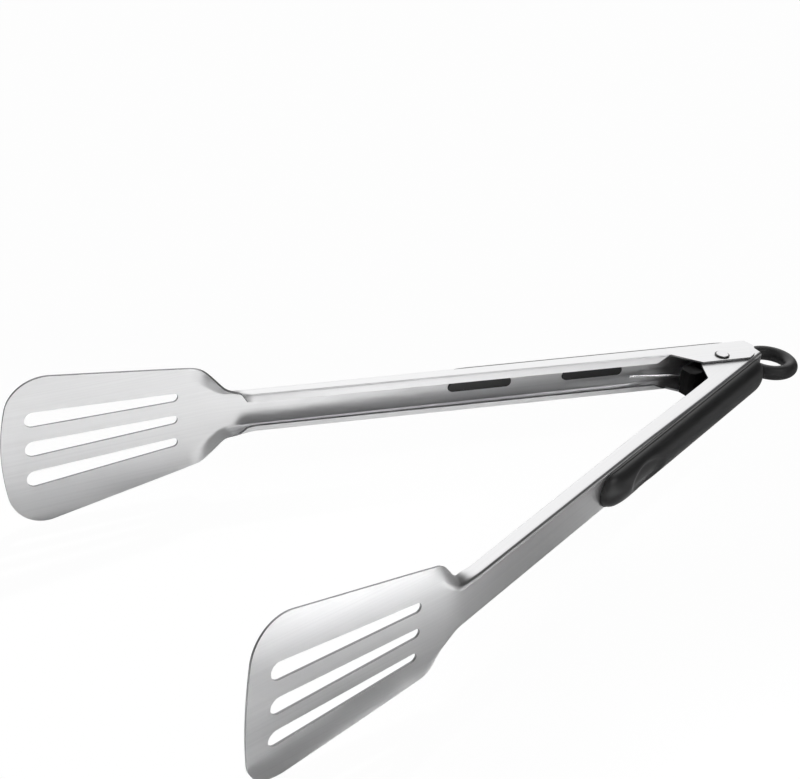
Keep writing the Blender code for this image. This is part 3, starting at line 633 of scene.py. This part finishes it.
# Grips
# A half-round bar of soft black rubber on the back of each arm, moulded with a thin flange at its
# foot and an oval thumb rest. Two lugs on its flat side pass through the arm's windows and hold it.
GRIP_HEEL_END = 0.0142
GRIP_TIP_END = 0.1200
GRIP_WIDTH = 0.0140
GRIP_HEIGHT = 0.0062
GRIP_NOSE = 0.0120
GRIP_SEAT = 0.0001
GRIP_FOOT = 0.0007
GRIP_STEP = 0.00035
LUG_ROOT = 0.0020
LUG_STAND = 0.0006
LUG_GAP = 0.0003
THUMB_PLACE = 0.0945
THUMB_LENGTH = 0.0280
THUMB_WIDTH = 0.0104
THUMB_DEPTH = 0.0013
THUMB_FLOOR = 0.62
# How finely the bar is made: rings at its ends and noses, between them, and steps round each ring
END_RINGS = (0.02, 0.06)
NOSE_RINGS = 16
RING_SPACING = 0.0008
RING_STEPS = 28


def soft_rubber():
    """Soft black rubber: satin, with a fine moulded grain and slightly polished patches of wear."""
    material, tree, shader = new_finish("soft_rubber", (0.014, 0.014, 0.015), 0.5)
    shader.inputs["Specular IOR Level"].default_value = 0.8
    place = on_piece(tree)
    grain = stretched_noise(tree, place, (0.00035, 0.00035, 0.00035), 3, 0.6)
    worn = stretched_noise(tree, place, (0.020, 0.020, 0.020), 3, 0.55)
    vary(
        shader,
        colour=blended(tree, "RGBA", worn, (0.006, 0.006, 0.0065), (0.011, 0.011, 0.0115)),
        roughness=spread_to(tree, worn, 0.36, 0.46),
        normal=raised(tree, grain, 0.00003, 0.35),
    )
    return material


def quarter_round(near, reach):
    """How full the bar is at a distance from its end: a quarter circle, and whole past its reach."""
    return math.sqrt(max(1 - (1 - min(near / reach, 1)) ** 2, 0))


def grip_shape(name, back, side):
    """Rings of points round the bar, from heel end to tip end: flat foot, flange step, half-round."""
    half = GRIP_WIDTH / 2
    length = GRIP_HEEL_END + GRIP_TIP_END
    base = back + GRIP_SEAT
    ends = [share * half for share in END_RINGS]
    ends += [GRIP_NOSE * (1 - math.cos(math.pi / 2 * i / NOSE_RINGS)) for i in range(1, NOSE_RINGS + 1)]
    places = ends + spaced((GRIP_NOSE, length - GRIP_NOSE), RING_SPACING)[1:-1]
    places += [length - end for end in reversed(ends)]
    shape = bmesh.new()
    rings = []
    for place in places:
        near = min(place, length - place)
        plan = quarter_round(near, half)
        rise = quarter_round(near, GRIP_NOSE)
        s = place - GRIP_HEEL_END
        ring = [(half * plan, 0.0), (half * plan, GRIP_FOOT * rise)]
        inner = max(half * plan - GRIP_STEP, 0)
        for i in range(RING_STEPS + 1):
            turn = math.pi * i / RING_STEPS
            across = inner * math.cos(turn)
            lift = mix(GRIP_FOOT, GRIP_HEIGHT, math.sin(turn)) * rise
            far = math.hypot((s - THUMB_PLACE) / (THUMB_LENGTH / 2), across / (THUMB_WIDTH / 2))
            lift -= THUMB_DEPTH * smooth(between(1.0, THUMB_FLOOR, far))
            ring.append((across, lift))
        ring += [(-half * plan, GRIP_FOOT * rise), (-half * plan, 0.0)]
        rings.append([shape.verts.new((-s, side * (base + lift), across)) for across, lift in ring])
    for near, far in zip(rings, rings[1:]):
        for i in range(len(near)):
            j = (i + 1) % len(near)
            shape.faces.new((near[i], near[j], far[j], far[i]))
    shape.faces.new(rings[0])
    shape.faces.new(rings[-1])
    bmesh.ops.recalc_face_normals(shape, faces=shape.faces)
    return as_mesh(name, shape)


def make_grip(name, side, back, place):
    """The bar with its two lugs, which stand a little proud inside the arm."""
    grip = as_object(name, grip_shape(name, back, side), (grip_rubber,))
    low, high = sorted((-side * (SHEET + LUG_STAND), side * LUG_ROOT))
    lugs = [([outline], low, high, on_back(side, back)) for outline in windows(LUG_GAP)]
    combine(grip, "UNION", plates("lugs", lugs, (grip_rubber,)))
    settle(grip, sharp_from=40)
    grip.data.transform(place)
    return grip


grip_rubber = soft_rubber()
upper_grip = make_grip("upper_grip_rubber", 1, UPPER_BACK, upper_place)
finish_piece(upper_grip, "upper_arm", "upper_grip")
lower_grip = make_grip("lower_grip_rubber", -1, LOWER_BACK, lower_place)
finish_piece(lower_grip, "lower_arm", "lower_grip")

# Pivot rivet and sleeve
# One bright steel rivet holds all four ears: a shank with a low flat head, closed over on both sides.
# Between the ears it wears a short tube that keeps them apart and carries the spring.
RIVET_HEAD = 0.0031
RIVET_HEAD_HEIGHT = 0.0006
RIVET_SEAT = 0.0001
RIVET_STEPS = 72
# The head's crown: share of the head's radius, drop below its highest part
CROWN = (
    (0, 0.00006),
    (0.30, 0.00005),
    (0.55, 0.00002),
    (0.80, 0),
    (0.83, 0.00028),
    (0.88, 0.00030),
    (0.95, 0.00026),
    (1, 0.00036),
)
HEAD_UNDERCUT = 0.97
HEAD_UNDERCUT_HEIGHT = 0.00008
# Painted shade: between these shares of the head's radius the steel's colour goes nearly black,
# standing for the shade in the groove, on the head's rim and on the sleeve
PAINTED_SHADE_FROM = 0.78
PAINTED_SHADE_FULL = 0.84
SLEEVE_BORE_GAP = 0.0001
SLEEVE_END_GAP = 0.00015
SLEEVE_BORE = RIVET_RADIUS + SLEEVE_BORE_GAP
SLEEVE_WALL = 0.0007
SLEEVE_HALF = lower_half - SHEET - SLEEVE_END_GAP
SLEEVE_CHAMFER = 0.00015
SLEEVE_STEPS = 64


def turned_steel():
    """Bright steel from the lathe, with a few dull spots, and painted shade, nearly black, from the
    head's groove outwards, which also darkens the sleeve.
    """
    material, tree, shader = new_finish("turned_steel", (0.80, 0.80, 0.81), 0.3, 1.0)
    place = on_piece(tree)
    spots = stretched_noise(tree, place, (0.0012, 0.0012, 0.0012), 4)
    flat = tree.nodes.new("ShaderNodeVectorMath")
    flat.operation = "MULTIPLY"
    put(flat.inputs[0], place)
    put(flat.inputs[1], (1, 1, 0))
    from_axis = tree.nodes.new("ShaderNodeVectorMath")
    from_axis.operation = "DISTANCE"
    put(from_axis.inputs[0], flat.outputs["Vector"])
    put(from_axis.inputs[1], (*hinge["pos_m"][:2], 0))
    radius = from_axis.outputs["Value"]
    # Painted shade: nearly black from the head's groove outwards from the pivot
    painted_shade = spread_to(tree, radius, 0, 1, RIVET_HEAD * PAINTED_SHADE_FROM, RIVET_HEAD * PAINTED_SHADE_FULL)
    unshaded = blended(tree, "RGBA", spots, (0.74, 0.74, 0.75), (0.86, 0.86, 0.87))
    vary(
        shader,
        colour=blended(tree, "RGBA", painted_shade, unshaded, (0.10, 0.10, 0.10)),
        roughness=spread_to(tree, spots, 0.28, 0.40),
        normal=raised(tree, spots, 0.00001, 0.3),
    )
    return material


def make_turned(name, upper_profile, steps, place):
    """A round piece about Z from (radius, height) points of its upper half, mirrored below."""
    profile = upper_profile + [(radius, -height) for radius, height in reversed(upper_profile)]
    edges = [(i, i + 1) for i in range(len(profile) - 1)]
    if profile[0][0] > 0:
        edges.append((len(profile) - 1, 0))
    mesh = bpy.data.meshes.new(name)
    mesh.from_pydata([(radius, 0, height) for radius, height in profile], edges, [])
    piece = as_object(name, mesh, (bright_steel,))
    lathe = piece.modifiers.new("lathe", "SCREW")
    lathe.steps = steps
    lathe.render_steps = steps
    lathe.use_merge_vertices = True
    lathe.merge_threshold = WELD
    settle(piece, sharp_from=30)
    piece.data.transform(place)
    return piece


bright_steel = turned_steel()
seat = ARM_WIDTH / 2 + RIVET_SEAT
crown_top = seat + RIVET_HEAD_HEIGHT
rivet_profile = [(RIVET_HEAD * share, crown_top - drop) for share, drop in CROWN]
rivet_profile += [
    (RIVET_HEAD, seat + HEAD_UNDERCUT_HEIGHT),
    (RIVET_HEAD * HEAD_UNDERCUT, seat),
    (RIVET_RADIUS, seat),
]
rivet = make_turned("pivot_rivet_turned", rivet_profile, RIVET_STEPS, pivot)
finish_piece(rivet, "upper_arm", "pivot_rivet")

sleeve_outer = SLEEVE_BORE + SLEEVE_WALL
sleeve_profile = [
    (SLEEVE_BORE, SLEEVE_HALF - SLEEVE_CHAMFER),
    (SLEEVE_BORE + SLEEVE_CHAMFER, SLEEVE_HALF),
    (sleeve_outer - SLEEVE_CHAMFER, SLEEVE_HALF),
    (sleeve_outer, SLEEVE_HALF - SLEEVE_CHAMFER),
]
sleeve = make_turned("pivot_sleeve_turned", sleeve_profile, SLEEVE_STEPS, core_place)
finish_piece(sleeve, "hinge_core", "pivot_sleeve")

# Spring
# A torsion spring of 1.1 mm bright wire: one and a third turns round the sleeve, with a straight leg
# that lies along the inside of each arm's back and pushes it open. Here it is made as a coil and two
# legs, which start inside the coil's ends; each leg is carried by its arm and the coil by the hinge
# core.
WIRE = 0.0011
WIRE_ROUNDNESS = 5
COIL_RADIUS = 0.0042
COIL_PARTS = 120
SPRING_LEG = 0.0370
LEG_PARTS = 12
LEG_CLEARANCE = 0.0003
UPPER_LEG_HEIGHT = -0.0029
LOWER_LEG_HEIGHT = -0.0051
LEG_OVERLAP = math.radians(36)
OVERLAP_PARTS = 8

leg_n = LOWER_BACK - SHEET - WIRE / 2 - LEG_CLEARANCE
leg_reach = math.hypot(SPRING_LEG, leg_n)
leg_slope = math.atan2(leg_n, SPRING_LEG) - math.asin(COIL_RADIUS / leg_reach) + OPEN_ANGLE / 2
leg_length = math.sqrt(leg_reach**2 - COIL_RADIUS**2)
coil_start = math.pi / 2 - leg_slope
coil_sweep = 2 * coil_start + 2 * math.pi


def coil_point(turned_by):
    """A point on the coil, an angle on from where the upper leg meets it."""
    height = mix(UPPER_LEG_HEIGHT, LOWER_LEG_HEIGHT, turned_by / coil_sweep)
    turn = coil_start - turned_by
    return Vector((COIL_RADIUS * math.cos(turn), COIL_RADIUS * math.sin(turn), height))


def spring_wire():
    """Drawn spring wire: bright, with fine lines from the die."""
    material, tree, shader = new_finish("spring_wire", (0.90, 0.90, 0.91), 0.24, 1.0)
    lines = stretched_noise(tree, on_piece(tree), (0.006, 0.0003, 0.0003), 3)
    put(shader.inputs["Roughness"], spread_to(tree, lines, 0.20, 0.32))
    put(shader.inputs["Normal"], raised(tree, lines, 0.00001, 0.25))
    return material


def make_wire(name, points):
    """One length of wire through points given on the hinge core."""
    curve = bpy.data.curves.new(name, "CURVE")
    curve.dimensions = "3D"
    curve.bevel_depth = WIRE / 2
    curve.bevel_resolution = WIRE_ROUNDNESS
    curve.use_fill_caps = True
    spline = curve.splines.new("POLY")
    spline.points.add(len(points) - 1)
    for knot, place in zip(spline.points, points):
        knot.co = (*(core_place @ place), 1)
    spline.use_smooth = True
    return as_object(name, curve, (wire_steel,))


def leg_points(turned_by, side, overlap):
    """From the leg's end to the coil, and a little way round it inside the coil's own wire."""
    heading = Vector((-math.cos(leg_slope), side * math.sin(leg_slope), 0))
    root = coil_point(turned_by)
    straight = [root + heading * leg_length * (1 - i / LEG_PARTS) for i in range(LEG_PARTS)]
    turns = [turned_by + overlap * i / OVERLAP_PARTS for i in range(OVERLAP_PARTS + 1)]
    return straight + [coil_point(turn) for turn in turns]


wire_steel = spring_wire()
coil_points = [coil_point(coil_sweep * i / COIL_PARTS) for i in range(COIL_PARTS + 1)]
coil = make_wire("spring_coil", coil_points)
finish_piece(coil, "hinge_core", "torsion_spring")
upper_leg = make_wire("spring_upper_leg", leg_points(0, 1, LEG_OVERLAP))
finish_piece(upper_leg, "upper_arm", "torsion_spring")
lower_leg = make_wire("spring_lower_leg", leg_points(coil_sweep, -1, -LEG_OVERLAP))
finish_piece(lower_leg, "lower_arm", "torsion_spring")

# Lock slider
# Hard black plastic, moulded in one piece. Its long slot runs on the sleeve, and its wide shoulders
# wedge between the heels of the closed arms when the ring is pulled.
LOCK_TRAVEL = 0.0110
LOCK_TOP = 0.0057
LOCK_PLATE_BOTTOM = -0.0018
LOCK_FRONT = -0.0210
LOCK_FRONT_HALF = 0.0038
LOCK_FRONT_BLOCK = 0.0045
LOCK_CORNER = 0.0015
LOCK_EDGE = 0.0003
LOCK_EDGE_STEPS = 3
LOCK_EDGE_SHARP_FROM = 30
LOCK_SLOT_GAP = 0.0003
LOCK_SLOT_STEPS = 24
WEDGE_FRONT = -0.0070
WEDGE_BACK = -0.0020
WEDGE_GAP = 0.0009
WEDGE_HALF = LOWER_BACK - SHEET - WEDGE_GAP
WEDGE_CORNER = 0.0010
LOCK_BACK_BLOCK = 0.0070
LOCK_BACK = 0.0120
LOCK_BACK_HALF = 0.0044


def moulded_plastic():
    """Hard black plastic with a spark-eroded satin skin."""
    material, tree, shader = new_finish("moulded_plastic", (0.006, 0.006, 0.0065), 0.45)
    shader.inputs["Specular IOR Level"].default_value = 0.12
    place = on_piece(tree)
    skin = stretched_noise(tree, place, (0.00025, 0.00025, 0.00025), 2)
    flow = stretched_noise(tree, place, (0.010, 0.010, 0.010), 3)
    vary(
        shader,
        colour=blended(tree, "RGBA", flow, (0.002, 0.002, 0.0022), (0.004, 0.004, 0.0043)),
        roughness=spread_to(tree, flow, 0.40, 0.54),
        normal=raised(tree, skin, 0.00002, 0.25),
    )
    return material


def box_outline(x_low, x_high, half):
    return [(x_low, -half), (x_high, -half), (x_high, half), (x_low, half)]


black_plastic = moulded_plastic()
lock_side = [
    (LOCK_FRONT, LOCK_FRONT_HALF - LOCK_CORNER),
    (LOCK_FRONT + LOCK_CORNER, LOCK_FRONT_HALF),
    (WEDGE_FRONT - WEDGE_HALF + LOCK_FRONT_HALF + WEDGE_CORNER, LOCK_FRONT_HALF),
    (WEDGE_FRONT, WEDGE_HALF - WEDGE_CORNER),
    (WEDGE_FRONT + WEDGE_CORNER, WEDGE_HALF),
    (WEDGE_BACK, WEDGE_HALF),
    (LOCK_BACK_BLOCK, LOCK_BACK_HALF),
    (LOCK_BACK, LOCK_BACK_HALF),
]
lock_outline = lock_side + [(x, -y) for x, y in reversed(lock_side)]
slot_half = sleeve_outer + LOCK_SLOT_GAP
lock_slot = capsule((-LOCK_TRAVEL, 0), slot_half, (0, 0), slot_half, LOCK_SLOT_STEPS)
lock_plate = ([lock_outline, lock_slot], LOCK_PLATE_BOTTOM, LOCK_TOP, AS_DRAWN)
lock = plates("lock_slider_moulding", [lock_plate], (black_plastic,))

inset = LOCK_CORNER / 2
front = box_outline(LOCK_FRONT + LOCK_CORNER, LOCK_FRONT + LOCK_FRONT_BLOCK, LOCK_FRONT_HALF - inset)
back = box_outline(LOCK_BACK_BLOCK, LOCK_BACK - inset, LOCK_BACK_HALF - inset)
plate_middle = (LOCK_TOP + LOCK_PLATE_BOTTOM) / 2
blocks = [([outline], -LOCK_TOP, plate_middle, AS_DRAWN) for outline in (front, back)]
combine(lock, "UNION", plates("lock_blocks", blocks, (black_plastic,)))
edges = lock.modifiers.new("rounded edges", "BEVEL")
edges.width = LOCK_EDGE
edges.segments = LOCK_EDGE_STEPS
edges.limit_method = "ANGLE"
edges.angle_limit = math.radians(LOCK_EDGE_SHARP_FROM)
settle(lock, sharp_from=50)
lock.data.transform(core_place)
finish_piece(lock, "lock", "lock_slider")

# Pull ring
# A round ring of soft dark grey rubber on a short flat shank, moulded over the slider's tongue. It
# pulls the lock, and the tongs hang by it.
RING_HEIGHT = -0.0036
RING_RADIUS = 0.0094
RING_TUBE = 0.0031
RING_PLACE = 0.0322
RING_PARTS = 96
RING_TUBE_PARTS = 40
RING_SKIN = 0.0003
FILLET_STRENGTH = 0.5
FILLET_PASSES = 10
SHANK_GAP = 0.0003
SHANK_HALF_WIDTH = 0.0040
SHANK_HALF_HEIGHT = 0.0019


def grey_rubber():
    """Dark grey rubber, satin, with a fine moulded grain."""
    material, tree, shader = new_finish("grey_rubber", (0.07, 0.07, 0.072), 0.45)
    place = on_piece(tree)
    grain = stretched_noise(tree, place, (0.0003, 0.0003, 0.0003), 3, 0.6)
    worn = stretched_noise(tree, place, (0.008, 0.008, 0.008), 3)
    vary(
        shader,
        colour=blended(tree, "RGBA", worn, (0.026, 0.026, 0.027), (0.042, 0.042, 0.043)),
        roughness=spread_to(tree, worn, 0.38, 0.52),
        normal=raised(tree, grain, 0.00003, 0.3),
    )
    return material


ring_rubber = grey_rubber()
bpy.ops.mesh.primitive_torus_add(
    major_radius=RING_RADIUS,
    minor_radius=RING_TUBE,
    major_segments=RING_PARTS,
    minor_segments=RING_TUBE_PARTS,
)
ring = bpy.context.object
ring.name = "pull_ring_rubber"
ring.data.materials.append(ring_rubber)
ring.data.transform(Matrix.Translation((RING_PLACE, 0, RING_HEIGHT)))
shank_outline = box_outline(LOCK_BACK + SHANK_GAP, RING_PLACE - RING_RADIUS, SHANK_HALF_WIDTH)
shank_faces = (RING_HEIGHT - SHANK_HALF_HEIGHT, RING_HEIGHT + SHANK_HALF_HEIGHT)
combine(ring, "UNION", plates("shank", [([shank_outline], *shank_faces, AS_DRAWN)], (ring_rubber,)))
melt = ring.modifiers.new("one skin", "REMESH")
melt.mode = "VOXEL"
melt.voxel_size = RING_SKIN
melt.use_smooth_shade = True
soften = ring.modifiers.new("fillets", "SMOOTH")
soften.factor = FILLET_STRENGTH
soften.iterations = FILLET_PASSES
settle(ring, sharp_from=60)
ring.data.transform(core_place)
finish_piece(ring, "lock", "pull_ring")

# Studio
# A white table under soft lamps, and the camera that looks down on the open tongs. Narrow lamps make
# pale pools on the table, which the brushed steel mirrors and which give its blades their shading.
FLOOR_COLOUR = (0.86, 0.86, 0.86)
FLOOR_ROUGHNESS = 0.9
FLOOR_SIZE = 8
FLOOR_DROP = 0.0003
WHITE_TO_THE_EYE = 0.98
WHITE_IN_STEEL = 0.05
ROOM_LEVEL = 0.30
LEVEL_ON_MATT = 0.5
# Parts of the room: direction, angle to its core, angle to its edge, brightness
ROOM_PARTS = (
    ((0.25, 0.88, 0.40), 34, 56, 1.18),  # the wall behind
    ((0.00, 0.00, 1.00), 10, 38, 0.15),  # the ceiling
    ((0.93, -0.02, 0.37), 28, 50, 0.05),  # the right-hand side
    ((0.45, -0.75, 0.45), 20, 40, 0.05),  # the front, to the right
    ((0.66, -0.70, 0.12), 18, 34, 0.05),  # the same, low down
    ((0.33, -0.47, 0.82), 6, 16, 2.50),  # a small panel over the front
    ((0.97, -0.22, 0.05), 4, 15, 0.90),  # a low panel at the right
)
# Lamps: watts, size, place, what it points at, spread in degrees, whether steel mirrors it
LAMPS = {
    "key_lamp": (0.156, (0.20, 0.19), (0.34, 0.76, 1.05), (-0.149, -0.040, 0), 4, False),
    "side_lamp": (0.24, (0.215, 0.07), (0.04, 0.775, 1.22), (0.100, -0.166, 0), 6, False),
    "fill_lamp": (0.026, (0.16, 0.03), (0.00, -0.42, 1.30), (0.02, 0.042, 0), 5, False),
    "hinge_lamp": (0.0008, (0.05, 0.05), (0.203, -0.1215, 0.295), (0.098, 0.078, 0.027), 14, True),
    "front_lamp": (0.8, (0.60, 0.14), (0.33, -0.86, 0.26), (0, 0.08, 0.03), 180, True),
}
CAMERA_FROM_PIVOT = Vector((-0.330803, -0.470153, 0.280281))
CAMERA_AZIMUTH = math.radians(-21.89)
CAMERA_ELEVATION = math.radians(28.31)
CAMERA_ROLL = math.radians(4.94)
CAMERA_SENSOR = 36
CAMERA_LENS = 67.56


def calculated(tree, operation, *terms):
    """The result of an operation on numbers and other nodes' outputs."""
    maths = tree.nodes.new("ShaderNodeMath")
    maths.operation = operation
    for socket, term in zip(maths.inputs, terms):
        put(socket, term)
    return maths.outputs["Value"]


def white_table():
    """Matt white that also glows: most of what the eye sees, and a little of what steel mirrors."""
    material, tree, shader = new_finish("white_table", FLOOR_COLOUR, FLOOR_ROUGHNESS)
    ray = tree.nodes.new("ShaderNodeLightPath")
    glow = tree.nodes.new("ShaderNodeEmission")
    glow.inputs["Strength"].default_value = 1.0
    seen = calculated(tree, "MULTIPLY", ray.outputs["Is Camera Ray"], WHITE_TO_THE_EYE)
    white = calculated(tree, "MULTIPLY_ADD", ray.outputs["Is Glossy Ray"], WHITE_IN_STEEL, seen)
    either = tree.nodes.new("ShaderNodeMixShader")
    put(either.inputs[0], white)
    put(either.inputs[1], shader.outputs["BSDF"])
    put(either.inputs[2], glow.outputs["Emission"])
    put(tree.nodes["Material Output"].inputs["Surface"], either.outputs["Shader"])
    return material


def studio_room():
    """A white surround to the eye, and to the tongs a dim room with a bright wall and dark sides."""
    world = bpy.data.worlds.new("studio")
    world.use_nodes = True
    tree = world.node_tree
    heading = tree.nodes.new("ShaderNodeTexCoord").outputs["Generated"]
    brightness = ROOM_LEVEL
    for direction, core, edge, part_level in ROOM_PARTS:
        towards = tree.nodes.new("ShaderNodeVectorMath")
        towards.operation = "DOT_PRODUCT"
        put(towards.inputs[0], heading)
        put(towards.inputs[1], Vector(direction).normalized())
        inside = tree.nodes.new("ShaderNodeMapRange")
        inside.interpolation_type = "SMOOTHSTEP"
        put(inside.inputs["From Min"], math.cos(math.radians(edge)))
        put(inside.inputs["From Max"], math.cos(math.radians(core)))
        put(inside.inputs["Value"], towards.outputs["Value"])
        brightness = blended(tree, "FLOAT", inside.outputs["Result"], brightness, part_level)
    ray = tree.nodes.new("ShaderNodeLightPath")
    on_matt = blended(tree, "FLOAT", ray.outputs["Is Diffuse Ray"], 1.0, LEVEL_ON_MATT)
    in_room = calculated(tree, "MULTIPLY", brightness, on_matt)
    sky = tree.nodes["Background"]
    put(sky.inputs["Color"], (1, 1, 1))
    put(sky.inputs["Strength"], blended(tree, "FLOAT", ray.outputs["Is Camera Ray"], in_room, 1.0))
    return world


def soft_lamp(name, watts, size, place, aim, spread, mirrored):
    """A rectangular lamp. With a narrow spread it makes a pool of light on the table."""
    lamp = bpy.data.lights.new(name, "AREA")
    lamp.energy = watts
    lamp.shape = "RECTANGLE"
    lamp.size, lamp.size_y = size
    lamp.spread = math.radians(spread)
    holder = bpy.data.objects.new(name, lamp)
    bpy.context.scene.collection.objects.link(holder)
    holder.location = place
    holder.rotation_euler = (Vector(aim) - Vector(place)).to_track_quat("-Z", "Y").to_euler()
    holder.visible_glossy = mirrored


def camera_stand():
    """The camera's place: turned about the pivot, tipped down and rolled a little."""
    backwards = Vector(
        (
            math.sin(CAMERA_AZIMUTH) * math.cos(CAMERA_ELEVATION),
            -math.cos(CAMERA_AZIMUTH) * math.cos(CAMERA_ELEVATION),
            math.sin(CAMERA_ELEVATION),
        )
    )
    level_right = Vector((math.cos(CAMERA_AZIMUTH), math.sin(CAMERA_AZIMUTH), 0))
    level_up = backwards.cross(level_right)
    right = level_right * math.cos(CAMERA_ROLL) + level_up * math.sin(CAMERA_ROLL)
    up = level_up * math.cos(CAMERA_ROLL) - level_right * math.sin(CAMERA_ROLL)
    stand = Matrix((right, up, backwards)).transposed().to_4x4()
    stand.translation = Vector(hinge["pos_m"]) + CAMERA_FROM_PIVOT
    return stand


bpy.ops.mesh.primitive_plane_add(size=FLOOR_SIZE, location=(0, 0, -FLOOR_DROP))
floor = bpy.context.object
floor.name = "table"
floor.data.materials.append(white_table())

bpy.context.scene.world = studio_room()
for name, settings in LAMPS.items():
    soft_lamp(name, *settings)

camera_data = bpy.data.cameras.new("camera")
camera_data.sensor_width = CAMERA_SENSOR
camera_data.lens = CAMERA_LENS
camera = bpy.data.objects.new("camera", camera_data)
bpy.context.scene.collection.objects.link(camera)
camera.matrix_world = camera_stand()
bpy.context.scene.camera = camera
bpy.context.scene.view_settings.view_transform = "Standard"
